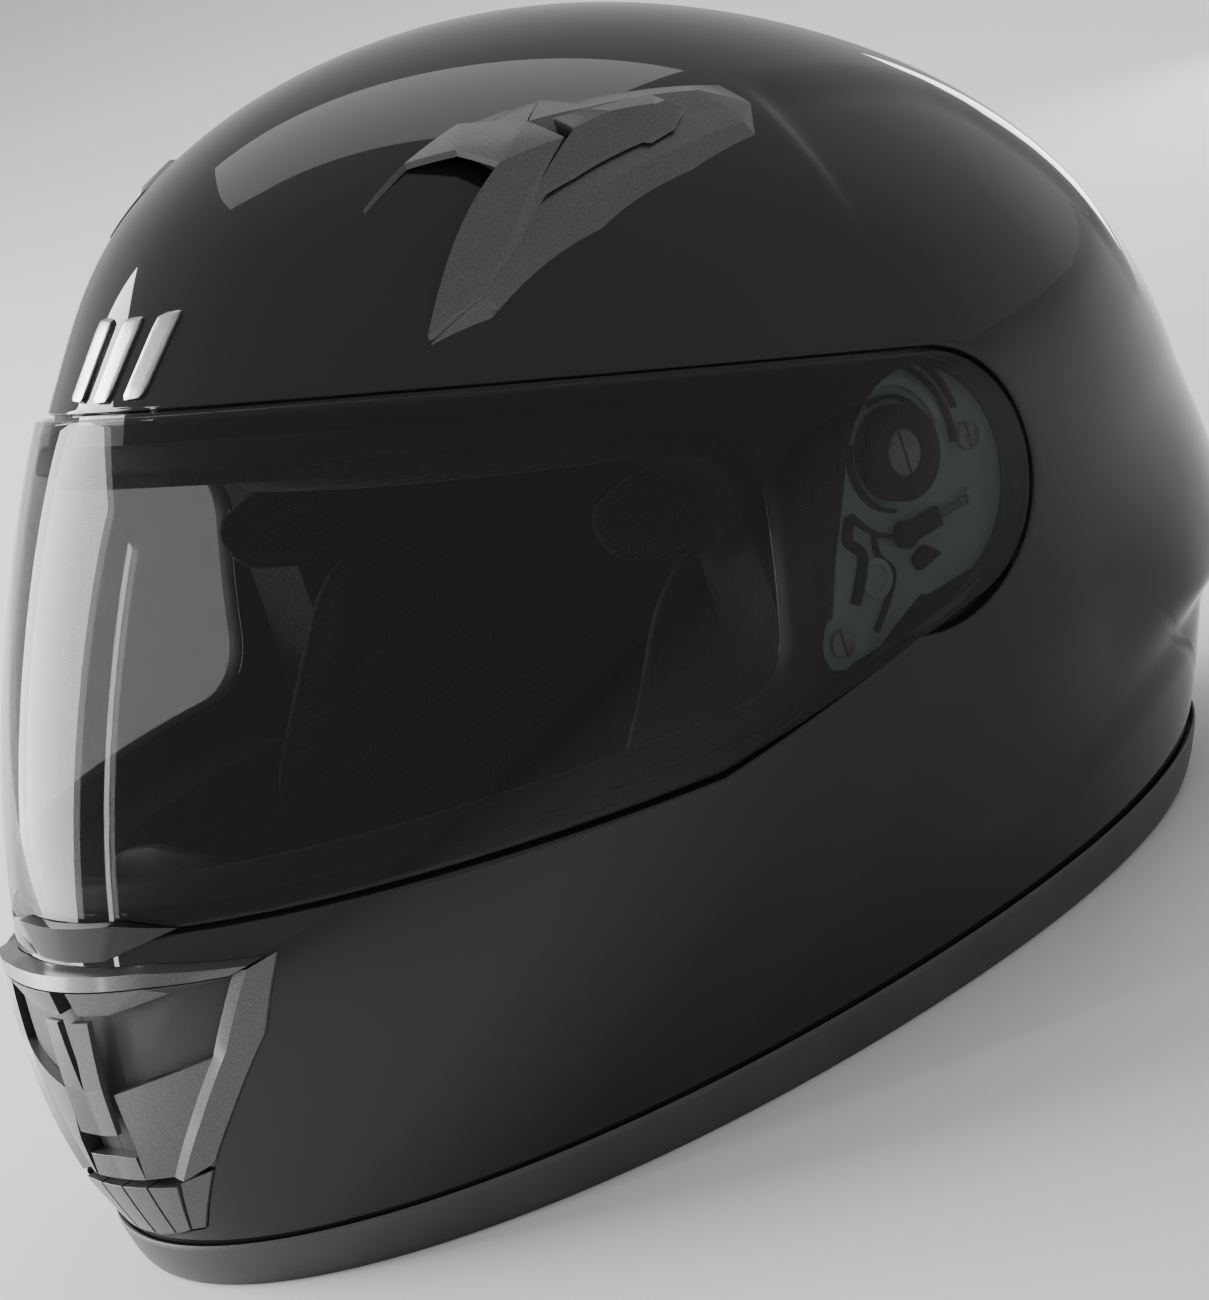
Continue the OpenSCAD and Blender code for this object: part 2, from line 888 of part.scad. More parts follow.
pad_r = 11;
module cheek_pad() {
    color(cloth_col)
        place()
            hull()
                for (c = spread([[64, -72, -86], [70, -10, -92], [70, -6, -34], [69, -30, -18],
                    [66, -66, -44], [70, -30, -60]]))
                    translate([c[0], c[1], pivot_height + c[2]])
                        sphere(pad_r, $fn = 20);
}

module cheek_pad_left() {
    cheek_pad();
}

module cheek_pad_right() {
    mirror([1, 0, 0])
        cheek_pad();
}

roll_r = 10;
roll_z = 27;
roll_from = 28;
roll_parts = 14;
roll_step = (180 - 2 * roll_from) / roll_parts;
module neck_roll() {
    function roll_at(t) = squarish(t, head_half - roll_r - 1, head_long - roll_r - 1, head_n);
    color(cloth_col)
        place()
            for (i = [0:roll_parts - 1])
                hull()
                    for (t = [i, i + 1] * roll_step)
                        translate([roll_at(roll_from + t)[0], roll_at(roll_from + t)[1] + head_mid[0], roll_z])
                            sphere(roll_r, $fn = 12);
}

guard_t = 2.4;
module breath_guard() {
    color(web_col)
        place()
            difference() {
                intersection() {
                    form(-chin_foam - 8, "inside", coarse);
                    along(front_y, -130)
                        rounded([[-36, -46, 4], [0, -30, 6], [36, -46, 4], [30, -66, 4], [-30, -66, 4]]);
                }
                form(-chin_foam - 8 - guard_t, "inside", coarse);
                for (x = [-12:12:12])
                    along(front_y, -130)
                        hull()
                            for (s = [-1, 1])
                                translate([x + 3 * s, -50])
                                    circle(1.2, $fn = 12);
            }
}

curtain_t = 1.6;
module chin_curtain() {
    color(cloth_col)
        place()
            intersection() {
                hem_ring([[-12, 4], [-12, 4 + curtain_t], [-46, 4 + curtain_t], [-46, 4]], 72);
                translate([-70, -far, -1])
                    cube([140, far - 120, 20]);
            }
}

// Strap in front view: down the side, then in towards the middle
module strap_band(inner) {
    translate([0, strap_y + strap_w / 2, 0])
        rotate([90, 0, 0])
            linear_extrude(strap_w)
                polygon([[strap_x, strap_top], [strap_x + strap_t, strap_top],
                    [strap_x + strap_t, strap_top - 16],
                    [strap_bend + strap_t, strap_low + strap_t + 8], [strap_bend - 8, strap_low],
                    [inner, strap_low], [inner, strap_low + strap_t],
                    [strap_bend - 8, strap_low + strap_t], [strap_bend - 1, strap_low + strap_t + 8],
                    [strap_x, strap_top - 16]]);
}

module strap_left() {
    color(web_col)
        place()
            difference() {
                union() {
                    strap_band(loop_x);
                    for (s = [0, 1])
                        translate([loop_x + s * loop_pitch, strap_y + strap_w / 2, loop_z])
                            rotate([90, 0, 0])
                                cylinder(r = loop_r + loop_wall, h = strap_w, $fn = 48);
                }
                for (s = [0, 1])
                    translate([loop_x + s * loop_pitch, strap_y + strap_w, loop_z])
                        rotate([90, 0, 0])
                            cylinder(r = loop_r, h = 2 * strap_w, $fn = 48);
            }
}

module strap_right() {
    color(web_col)
        place()
            mirror([1, 0, 0])
                strap_band(strap_w);
}

module strap_rivets() {
    color(steel_col)
        place()
            both_sides()
                translate([strap_x - 1.5, strap_y, strap_top - 8])
                    rotate([0, 90, 0])
                        cylinder(r = rivet_r, h = 1.5, $fn = 48);
}

// Half-round wire ring with a straight bar in the strap's loop
ring_r = strap_w / 2 + ring_bar_r + 0.8;
module d_ring(x, turn) {
    color(steel_col)
        place()
            translate([x, strap_y, loop_z]) {
                rotate([90, 0, 0])
                    translate([0, 0, -ring_r])
                        cylinder(r = ring_bar_r, h = 2 * ring_r, $fn = 48);
                rotate([0, 0, turn])
                    rotate_extrude(angle = 180, $fn = 64)
                        translate([ring_r, 0])
                            circle(ring_bar_r, $fn = 32);
            }
}

module d_ring_end() {
    d_ring(loop_x, 90);
}

module d_ring_back() {
    d_ring(loop_x + loop_pitch, -90);
}

badge_t = 0.8;
badge_low = 48.6; // above the visor's top edge at the pivot
badge_top = 64.6;
module forehead_badge() {
    color(steel_col)
        place()
            for (s = [-1, 0, 1])
                difference() {
                    intersection() {
                        form(part_gap + badge_t, "outside", fine);
                        along(front_y, -80)
                            translate([12 * s, brow_rise])
                                rounded([[-5, badge_low, 1], [1, badge_low, 1], [6, badge_top, 1],
                                    [0, badge_top, 1]]);
                    }
                    form(part_gap, "outside", fine);
                }
}

outer_shell();
crown_liner();
chin_liner();
edge_trim();
eye_port_gasket();
top_vent_left();
top_vent_right();
top_vent_slider_left();
top_vent_slider_right();
chin_vent_housing();
chin_vent_grille();
chin_vent_slider();
visor();
visor_hub_left();
visor_hub_right();
base_plate_left();
base_plate_right();
base_plate_screws_left();
base_plate_screws_right();
pivot_screw_left();
pivot_screw_right();
visor_latch_left();
visor_latch_right();
latch_spring_left();
latch_spring_right();
crown_pad();
cheek_pad_left();
cheek_pad_right();
neck_roll();
breath_guard();
chin_curtain();
strap_left();
strap_right();
strap_rivets();
d_ring_end();
d_ring_back();
forehead_badge();
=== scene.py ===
import json
import math

import bpy
import numpy as np
from mathutils import Matrix, Vector


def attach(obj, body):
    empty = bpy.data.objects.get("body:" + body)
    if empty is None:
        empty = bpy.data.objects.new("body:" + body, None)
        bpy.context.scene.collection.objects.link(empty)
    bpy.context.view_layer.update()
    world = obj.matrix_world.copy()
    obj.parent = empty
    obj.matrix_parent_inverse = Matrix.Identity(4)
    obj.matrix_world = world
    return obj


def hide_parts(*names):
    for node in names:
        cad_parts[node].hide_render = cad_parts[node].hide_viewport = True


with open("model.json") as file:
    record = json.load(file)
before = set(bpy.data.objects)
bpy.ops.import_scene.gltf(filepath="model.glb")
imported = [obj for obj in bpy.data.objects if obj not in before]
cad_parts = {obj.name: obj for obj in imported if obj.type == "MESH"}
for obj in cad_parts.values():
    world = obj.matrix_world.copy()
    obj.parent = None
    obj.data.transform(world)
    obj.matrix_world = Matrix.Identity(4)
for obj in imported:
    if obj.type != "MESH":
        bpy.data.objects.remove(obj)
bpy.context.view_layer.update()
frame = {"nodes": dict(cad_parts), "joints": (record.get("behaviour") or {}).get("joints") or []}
joints = {j["name"]: j for j in frame["joints"]}
pivot = np.array(joints["visor_hinge"]["pos_m"]) * 1000  # millimetres, as are all shapes below

# form of the helmet
form = {
    "halfWidth": 121.0,
    "reach": [184.5, 157, 138.5, 122.5, 121.5, 137.5, 165.5, 183, 203.5, 235, 251.5, 233],
    "fullMid": 2.08, "fullSwing": 0.2, "fullAngle": 35.0,
    "wing": 7.0, "browStep": 2.9, "hem": -131.0,
    "creaseDepth": 1.3, "foldDepth": 1.6,
}


def ease(t):
    c = np.clip(t, 0, 1)
    return c * c * (3 - 2 * c)


def reach(a):
    # radius of the middle profile: the stations joined by a periodic interpolation kernel
    a = np.asarray(a, float)
    n = len(form["reach"])
    t = a[..., None] - np.arange(n) * 2 * np.pi / n
    near = np.abs(np.sin(t / 2)) < 1e-7
    k = np.where(near, 1.0, np.sin(n * t / 2) / (n * np.tan(np.where(near, 1.0, t) / 2)))
    return k @ np.array(form["reach"], float)


def fullness(a):
    return form["fullMid"] - form["fullSwing"] * np.cos(a - math.radians(form["fullAngle"]))


def angleOf(y, z):
    return np.arctan2(z, -np.asarray(y, float))


def browLine(y):
    return 25.4 - 0.325 * y


def sillLine(y):
    return -49 - 0.083 * np.minimum(0, y + 80)


def toLine(y, z, points):
    # distance to a polyline in side view, and how far along it the nearest place is, from 0 to 1
    best, where = np.full(np.shape(y), 1e9), np.zeros(np.shape(y))
    p = np.array(points, float)
    for i in range(len(p) - 1):
        d = p[i + 1] - p[i]
        t = np.clip(((y - p[i, 0]) * d[0] + (z - p[i, 1]) * d[1]) / (d @ d), 0, 1)
        r = np.hypot(y - p[i, 0] - t * d[0], z - p[i, 1] - t * d[1])
        where = np.where(r < best, (i + t) / (len(p) - 1), where)
        best = np.minimum(best, r)
    return best, where


def smoothLine(points, count=60):
    # Catmull-Rom curve through the points
    p = np.array(points, float)
    q = np.vstack([2 * p[0] - p[1], p, 2 * p[-1] - p[-2]])
    out = []
    for i in range(len(p) - 1):
        t = np.linspace(0, 1, max(2, count // (len(p) - 1)), endpoint=False)[:, None]
        a, b, c, d = q[i:i + 4]
        out.append(0.5 * (2 * b + (c - a) * t + (2 * a - 5 * b + 4 * c - d) * t**2 + (3 * b - a - 3 * c + d) * t**3))
    return np.vstack(out + [p[-1:]])


# style lines of the shell in side view
foldLow = smoothLine([[135, -78], [108, -92], [57, -98], [21, -103], [-4, -100], [-52, -93]])
crease = smoothLine([[20, 89], [30, 87], [60, 79], [83, 69], [92, 62], [100, 53], [117, 24], [122.5, -27]])


def sideOf(y, z, line):
    # signed distance to a polyline: positive on its left when walked from first to last point
    p = np.array(line, float)
    best, sign = np.full(np.shape(y), 1e9), np.zeros(np.shape(y))
    for i in range(len(p) - 1):
        d = p[i + 1] - p[i]
        t = np.clip(((y - p[i, 0]) * d[0] + (z - p[i, 1]) * d[1]) / (d @ d), 0, 1)
        ry, rz = y - p[i, 0] - t * d[0], z - p[i, 1] - t * d[1]
        r = np.hypot(ry, rz)
        s = np.sign(d[0] * rz - d[1] * ry)
        sign = np.where(r < best - 1e-9, s, sign)
        best = np.minimum(best, r)
    return best * sign


def styling(y, z):
    # a step that dies out away from each style line and towards its ends
    d = sideOf(y, z, crease)
    _, t = toLine(y, z, crease)
    ends = ease(t / 0.15) * ease((1 - t) / 0.2)
    c = form["creaseDepth"] * ends * (ease((d + 5) / 10) - 1) * ease((d + 44) / 36)
    d = sideOf(y, z, foldLow)
    _, t = toLine(y, z, foldLow)
    ends = ease(t / 0.2) * ease((1 - t) / 0.25)
    f = form["foldDepth"] * ends * (ease((d + 5) / 10) - 1) * ease((d + 40) / 32)
    return c + f * ease((z + 128) / 10)


def outside(y, z):
    b = -form["browStep"] * (1 - ease((z - browLine(y) - 8) / 45)) * (1 - ease((y + 10) / 50)) * ease((z + 20) / 20)
    w = form["wing"] * ease((y - 50) / 70) * np.minimum(ease((-25 - z) / 50), ease((z + 93) / 17))
    return b + w


def skin(y, z):
    return outside(y, z) + styling(y, z)


def across(y, z, d):
    # half width at a place in side view, on the surface raised by d
    a = angleOf(y, z)
    n = fullness(a)
    s = np.clip(np.hypot(y, z) / (reach(a) + d), 0, 1)
    return (form["halfWidth"] + d) * (1 - s**n) ** (1 / n)


def formPoint(a, b, d):
    n = fullness(a)
    r = (reach(a) + d) * np.clip(np.cos(b), 0, 1) ** (2 / n)
    x = (form["halfWidth"] + d) * np.abs(np.sin(b)) ** (2 / n)
    return np.stack([x, -r * np.cos(a), r * np.sin(a)], -1)


def polar(y, z, d):
    # angle round the pivot axis, and how far from the pole towards the middle plane (0 to a quarter turn)
    a = angleOf(y, z)
    s = np.clip(np.hypot(y, z) / (reach(a) + d), 0, 1)
    return a, np.pi / 2 - np.arccos(np.clip(s ** (fullness(a) / 2), 0, 1))


def solve(inside, low, high, steps=40):
    # halves the way out until the surface is met
    for _ in range(steps):
        mid = (low + high) / 2
        keep = inside(mid)
        low, high = np.where(keep, mid, low), np.where(keep, high, mid)
    return (low + high) / 2


def within(x, y, z, d):
    a = angleOf(y, z)
    n = fullness(a)
    return (np.hypot(y, z) / (reach(a) + d)) ** n + (np.abs(x) / (form["halfWidth"] + d)) ** n < 1


def frontPoint(x, z, d):
    x, z, d = np.broadcast_arrays(np.asarray(x, float), z, d)
    y = -solve(lambda t: within(x, -t, z, d), np.zeros(x.shape) + 20, np.zeros(x.shape) + 260)
    return np.stack([x, y, z], -1)


def topPoint(x, y, d):
    x, y, d = np.broadcast_arrays(np.asarray(x, float), y, d)
    z = solve(lambda t: within(x, y, t, d + outside(y, t)), np.zeros(x.shape) + 10, np.zeros(x.shape) + 150)
    return np.stack([x, y, z], -1)


def hemPoint(t, z, d):
    t, z, d = np.broadcast_arrays(np.asarray(t, float), z, d)
    r = solve(lambda s: within(s * np.cos(t), s * np.sin(t), z, d), np.zeros(t.shape) + 30, np.zeros(t.shape) + 260)
    return np.stack([r * np.cos(t), r * np.sin(t), z], -1)


# meshes
def mirrored(points):
    return points * np.array([-1, 1, 1])


def grid(rows, closed=False, flip=False):
    # vertices and faces of a grid of points, rows first; closed joins each row's ends
    p = np.asarray(rows, float)
    m, n = p.shape[:2]
    i, j = np.meshgrid(np.arange(m - 1), np.arange(n if closed else n - 1), indexing="ij")
    k = (j + 1) % n
    f = np.stack([i * n + j, i * n + k, (i + 1) * n + k, (i + 1) * n + j], -1).reshape(-1, 4)
    return p.reshape(-1, 3), f[:, ::-1] if flip else f


def turnedOver(parts):
    # mirror images of the parts, faces turned to stay outwards
    return [(mirrored(v), f[:, ::-1]) for v, f in parts]


def both(parts):
    return parts + turnedOver(parts)


def build(name, parts, material, body="shell", angle=None, replace=()):
    # joins the parts, welds equal points, drops faces with no area and makes the object
    points, faces, start = [], [], 0
    for v, f in parts:
        points.append(np.asarray(v, float).reshape(-1, 3))
        faces.append(np.asarray(f) + start)
        start += len(points[-1])
    points = (np.vstack(points) + pivot) / 1000
    keys = np.round(points * 1e6).astype(np.int64)
    _, first, inverse = np.unique(keys, axis=0, return_index=True, return_inverse=True)
    inverse = inverse.reshape(-1)
    clean = []
    for f in faces:
        g = inverse[f]
        if g.shape[1] == 4:
            same = np.stack([g[:, i] == g[:, (i + 1) % 4] for i in range(4)], 1)
            count = same.sum(1)
            clean.extend(g[count == 0].tolist())
            for row, s in zip(g[count == 1], same[count == 1]):
                clean.append([row[i] for i in range(4) if not s[i]])
        else:
            clean.extend(g[(g[:, 0] != g[:, 1]) & (g[:, 1] != g[:, 2]) & (g[:, 2] != g[:, 0])].tolist())
    mesh = bpy.data.meshes.new(name)
    mesh.from_pydata(points[first].tolist(), [], clean)
    mesh.validate()
    mesh.update()
    mesh.shade_smooth()
    if angle is not None:
        mesh.set_sharp_from_angle(angle=math.radians(angle))
    obj = bpy.data.objects.new(name, mesh)
    bpy.context.scene.collection.objects.link(obj)
    mesh.materials.append(material)
    if replace:
        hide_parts(*replace)
    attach(obj, body)
    return obj


# materials
class Wire:
    def __init__(self, board, socket):
        self.board, self.socket = board, socket

    def maths(self, operation, *others):
        return self.board.add("ShaderNodeMath", {"operation": operation}, list(others))

    def __add__(self, o):
        return self.maths("ADD", self, o)

    __radd__ = __add__

    def __mul__(self, o):
        return self.maths("MULTIPLY", self, o)

    __rmul__ = __mul__

    def __sub__(self, o):
        return self.maths("SUBTRACT", self, o)

    def __rsub__(self, o):
        return self.maths("SUBTRACT", o, self)


class Board:
    def __init__(self, name):
        self.material = bpy.data.materials.new(name)
        self.material.use_nodes = True
        self.tree = self.material.node_tree
        self.tree.nodes.clear()
        self.coords = self.add("ShaderNodeTexCoord", {}, {}, "Object")

    def add(self, kind, settings, values, output=0):
        node = self.tree.nodes.new(kind)
        for key, value in settings.items():
            if key == "ramp":
                ramp = node.color_ramp
                while len(ramp.elements) < len(value):
                    ramp.elements.new(0.5)
                for element, (place, level) in zip(ramp.elements, value):
                    element.position = place
                    element.color = (level, level, level, 1)
            else:
                setattr(node, key, value)
        for key, value in (values.items() if isinstance(values, dict) else enumerate(values)):
            target = node.inputs[key]
            if isinstance(value, Wire):
                self.tree.links.new(value.socket, target)
            else:
                target.default_value = value
        return Wire(self, node.outputs[output]) if len(node.outputs) else None

    def noise(self, scale, detail=3.0, rough=0.55, stretch=(1, 1, 1)):
        at = self.add("ShaderNodeVectorMath", {"operation": "MULTIPLY"}, [self.coords, stretch])
        return self.add("ShaderNodeTexNoise", {}, {"Vector": at, "Scale": scale, "Detail": detail, "Roughness": rough})

    def spots(self, scale, stretch=(1, 1, 1), kind="F1"):
        at = self.add("ShaderNodeVectorMath", {"operation": "MULTIPLY"}, [self.coords, stretch])
        return self.add("ShaderNodeTexVoronoi", {"feature": kind}, {"Vector": at, "Scale": scale})

    def ramp(self, value, stops):
        return self.add("ShaderNodeValToRGB", {"ramp": stops}, [value])

    def mix(self, share, a, b):
        wires = {0: share, 6: a, 7: b}
        return self.add("ShaderNodeMix", {"data_type": "RGBA"}, wires, 2)

    def bump(self, height, distance, strength):
        return self.add("ShaderNodeBump", {}, {"Strength": strength, "Distance": distance, "Height": height})

    def finish(self, **values):
        shader = self.add("ShaderNodeBsdfPrincipled", {}, {k.replace("_", " "): v for k, v in values.items()})
        self.add("ShaderNodeOutputMaterial", {}, [shader])
        return self.material


def grey(v, tint=(1, 1, 1)):
    return (v * tint[0], v * tint[1], v * tint[2], 1)


paintLook = {"colour": grey(0.012, (1.05, 1.0, 0.95)), "peel": 0.000012, "rough": 0.05, "haze": 0.07}


def paintMaterial():
    m = Board("paint")
    smudge = m.ramp(m.noise(9, 4), [(0.42, 0), (0.72, 1)])
    peel = m.noise(420, 2)
    base = m.mix(smudge * 0.3, paintLook["colour"], grey(0.018))
    return m.finish(Base_Color=base, Roughness=smudge * paintLook["haze"] + paintLook["rough"], Coat_Weight=1.0,
                    Coat_Roughness=0.02, Coat_IOR=1.42, Specular_IOR_Level=0.0,
                    Normal=m.bump(peel, paintLook["peel"], 0.5))


visorLook = {"colour": (0.004, 0.006, 0.004, 1), "alpha": 0.48, "rough": 0.015}


def visorMaterial():
    m = Board("smoke")
    wipe = m.ramp(m.noise(14, 4), [(0.45, 0), (0.75, 1)])
    return m.finish(Base_Color=visorLook["colour"], Alpha=visorLook["alpha"], IOR=1.45,
                    Roughness=wipe * 0.02 + visorLook["rough"])


def tabMaterial():
    # the visor's thick moulded edge, too deep to see through
    m = Board("smokeBlack")
    wipe = m.noise(18, 4)
    return m.finish(Base_Color=m.mix(wipe, grey(0.004), grey(0.008)), IOR=1.45, Roughness=wipe * 0.06 + 0.05)


def rubberMaterial(name, level, rough):
    m = Board(name)
    grain = m.noise(900, 2)
    wear = m.noise(30, 4)
    base = m.mix(m.ramp(wear, [(0.3, 0), (0.75, 1)]), grey(level * 0.8), grey(level * 1.25))
    return m.finish(Base_Color=base, Roughness=wear * 0.15 + rough, Normal=m.bump(grain + wear * 0.4, 0.00012, 0.5))


ventLook = {"base": 0.075, "flake": 0.22, "rough": 0.3}


def ventMaterial():
    m = Board("ventGrey")
    cell = m.spots(2600)
    flake = m.ramp(cell, [(0.0, 1), (0.42, 0)])
    wear = m.noise(26, 4)
    base = m.mix(flake * 0.6, grey(ventLook["base"], (1, 1, 1.03)), grey(ventLook["flake"], (1, 1, 1.04)))
    return m.finish(Base_Color=base, Metallic=0.55, Roughness=wear * 0.12 + ventLook["rough"], Coat_Weight=0.4,
                    Coat_Roughness=0.12, Normal=m.bump(cell, 0.00002, 0.5))


def foamMaterial():
    m = Board("foam")
    cell = m.spots(330)
    edge = m.spots(330, kind="DISTANCE_TO_EDGE")
    base = m.mix(m.ramp(cell, [(0.1, 0), (0.7, 1)]), grey(0.022), grey(0.045))
    return m.finish(Base_Color=base, Roughness=0.75, Normal=m.bump(m.ramp(edge, [(0, 0), (0.12, 1)]), 0.0003, 0.7))


clothLook = {"base": 0.014, "high": 0.045, "knit": 0.00045}


def clothMaterial():
    # knitted loops: two crossed waves, with fuzz over them
    m = Board("knit")
    rows = m.add("ShaderNodeTexWave", {"bands_direction": "Z"}, {"Vector": m.coords, "Scale": 230, "Distortion": 1.2,
                                                               "Detail": 1.0})
    columns = m.add("ShaderNodeTexWave", {"bands_direction": "Y"}, {"Vector": m.coords, "Scale": 180,
                                                                  "Distortion": 1.2, "Detail": 1.0})
    loops = rows * columns
    fuzz = m.noise(1300, 3)
    patch = m.noise(24, 3)
    share = loops * 0.55 + fuzz * 0.3 + patch * 0.15
    tone = m.mix(share, grey(clothLook["base"]), grey(clothLook["high"], (1, 1, 1.04)))
    return m.finish(Base_Color=tone, Roughness=0.92, Sheen_Weight=0.25, Sheen_Roughness=0.5,
                    Normal=m.bump(loops + fuzz * 0.4, clothLook["knit"], 0.8))


def webMaterial():
    m = Board("webbing")
    weft = m.add("ShaderNodeTexWave", {"bands_direction": "Y"}, {"Vector": m.coords, "Scale": 260, "Distortion": 0.3})
    warp = m.add("ShaderNodeTexWave", {"bands_direction": "DIAGONAL"}, {"Vector": m.coords, "Scale": 300,
                                                                      "Distortion": 0.4})
    weave = weft * warp
    tone = m.mix(weave + m.noise(40, 3) * 0.3, grey(0.01), grey(0.04))
    return m.finish(Base_Color=tone, Roughness=0.6, Normal=m.bump(weave, 0.0003, 0.9))


def steelMaterial():
    m = Board("steel")
    brush = m.noise(160, 3, 0.6, (1, 1, 14))
    base = m.mix(m.noise(60, 4), grey(0.42, (1, 0.98, 0.95)), grey(0.62, (1, 0.98, 0.95)))
    return m.finish(Base_Color=base, Metallic=1.0, Roughness=brush * 0.2 + 0.2, Normal=m.bump(brush, 0.00002, 0.4))


def plateMaterial():
    m = Board("plate")
    brush = m.noise(240, 3, 0.6, (1, 9, 1))
    wear = m.noise(45, 4)
    base = m.mix(wear, grey(0.6, (0.82, 1.08, 0.97)), grey(0.85, (0.86, 1.06, 0.98)))
    return m.finish(Base_Color=base, Metallic=0.15, Roughness=brush * 0.25 + 0.35, Normal=m.bump(brush, 0.00003, 0.4))


def meshMaterial():
    m = Board("mesh")
    grain = m.noise(700, 2)
    base = m.mix(grain, grey(0.012), grey(0.03))
    return m.finish(Base_Color=base, Roughness=grain * 0.2 + 0.5, Normal=m.bump(grain, 0.0001, 0.5))


def badgeMaterial():
    m = Board("badge")
    brush = m.noise(200, 3, 0.6, (12, 1, 1))
    base = m.mix(brush, grey(0.35), grey(0.6))
    return m.finish(Base_Color=base, Metallic=0.9, Roughness=brush * 0.2 + 0.2)


paint, smoke, smokeBlack, ventGrey = paintMaterial(), visorMaterial(), tabMaterial(), ventMaterial()
trimRubber, sealRubber = rubberMaterial("trimRubber", 0.045, 0.38), rubberMaterial("sealRubber", 0.012, 0.5)
foam, knit, webbing = foamMaterial(), clothMaterial(), webMaterial()
steel, plate, meshBlack, badgeSilver = steelMaterial(), plateMaterial(), meshMaterial(), badgeMaterial()
for node, look in {
    "outer_shell": paint, "crown_liner": foam, "chin_liner": foam, "edge_trim": trimRubber,
    "eye_port_gasket": sealRubber, "top_vent_left": ventGrey, "top_vent_right": ventGrey,
    "top_vent_slider_left": ventGrey, "top_vent_slider_right": ventGrey, "chin_vent_housing": ventGrey,
    "chin_vent_grille": meshBlack, "chin_vent_slider": ventGrey, "visor": smoke, "visor_hub_left": smokeBlack,
    "visor_hub_right": smokeBlack, "base_plate_left": plate, "base_plate_right": plate,
    "base_plate_screws_left": steel, "base_plate_screws_right": steel, "pivot_screw_left": steel,
    "pivot_screw_right": steel, "visor_latch_left": meshBlack, "visor_latch_right": meshBlack,
    "latch_spring_left": steel, "latch_spring_right": steel, "crown_pad": knit, "cheek_pad_left": knit,
    "cheek_pad_right": knit, "neck_roll": knit, "breath_guard": sealRubber, "chin_curtain": knit,
    "strap_left": webbing, "strap_right": webbing, "strap_rivets": steel, "d_ring_end": steel,
    "d_ring_back": steel, "forehead_badge": badgeSilver,
}.items():
    data = frame["nodes"][node].data
    data.materials.clear()
    data.materials.append(look)
print("stage: materials")


# side-view outlines
class Outline:
    # points in side view with their outward normals, open at the front, evenly spaced
    def __init__(self, points, normals, count=2400):
        p, n = np.array(points, float), np.array(normals, float)
        s = np.r_[0, np.cumsum(np.hypot(*np.diff(p, axis=0).T) + 1e-9)]
        u = np.linspace(0, s[-1], count)
        self.u = u
        self.p = np.stack([np.interp(u, s, p[:, k]) for k in (0, 1)], 1)
        n = np.stack([np.interp(u, s, n[:, k]) for k in (0, 1)], 1)
        self.n = n / np.linalg.norm(n, axis=1)[:, None]

    def ends(self, g, d):
        # where the outline grown by g meets the middle plane of the surface raised by d
        q = self.p + g * self.n
        raised = d(q[:, 0], q[:, 1]) if callable(d) else d
        gap = reach(angleOf(q[:, 0], q[:, 1])) + raised - np.hypot(q[:, 0], q[:, 1])
        k = np.flatnonzero(gap > 0)
        i, j = k[0], k[-1]
        low = self.u[i] if i == 0 else np.interp(0, [gap[i - 1], gap[i]], [self.u[i - 1], self.u[i]])
        high = self.u[j] if j == len(gap) - 1 else np.interp(0, [gap[j + 1], gap[j]], [self.u[j + 1], self.u[j]])
        return low, high

    def at(self, u, g=0.0):
        p = np.stack([np.interp(u, self.u, self.p[:, k]) for k in (0, 1)], -1)
        n = np.stack([np.interp(u, self.u, self.n[:, k]) for k in (0, 1)], -1)
        return p + g * n

    def row(self, g, d, shares):
        # places at even shares of the length between the ends, or at the shares given
        low, high = self.ends(g, d)
        q = self.at(low + (high - low) * (np.linspace(0, 1, shares) if np.ndim(shares) == 0 else shares), g)
        return q[:, 0], q[:, 1]


def arc(centre, r, start, end, count=160):
    # clockwise from one direction to another, in degrees
    t = np.radians(np.linspace(start, start - (start - end) % 360, count))
    n = np.stack([np.cos(t), np.sin(t)], 1)
    return np.array(centre) + r * n, n


def line(a, b, count=120):
    t = np.linspace(0, 1, count)[:, None]
    p = np.array(a) * (1 - t) + np.array(b) * t
    d = np.array(b, float) - np.array(a, float)
    n = np.array([-d[1], d[0]]) / np.hypot(*d)
    return p, np.repeat(n[None], count, 0)


def joined(pieces):
    return np.vstack([p for p, _ in pieces]), np.vstack([n for _, n in pieces])


def tangentAngle(c1, r1, c2, r2, side):
    v = np.array(c2, float) - np.array(c1, float)
    return math.degrees(math.atan2(v[1], v[0])) + side * math.degrees(math.acos((r1 - r2) / np.hypot(*v)))


visorShape = {"ear": (7.0, -10.0), "earR": 31.5, "gap": 1.2, "corner": (-80.0, -47.0), "cornerR": 2.0}
browAngle = math.degrees(math.atan(0.325))
browNormal = 90 - browAngle
lowNormal = tangentAngle(visorShape["ear"], visorShape["earR"], visorShape["corner"], visorShape["cornerR"], 1)
earTop = np.array(visorShape["ear"]) + visorShape["earR"] * np.array([math.cos(math.radians(browNormal)),
                                                                     math.sin(math.radians(browNormal))])
earArc = arc(visorShape["ear"], visorShape["earR"], browNormal, lowNormal)
cornerArc = arc(visorShape["corner"], visorShape["cornerR"], lowNormal, -94.7, 12)
visorEdge = Outline(*joined([line((-240, browLine(-240)), earTop), earArc,
                             line(earArc[0][-1], cornerArc[0][0], 60), cornerArc,
                             line(cornerArc[0][-1], (-240, sillLine(-240)), 120)]))

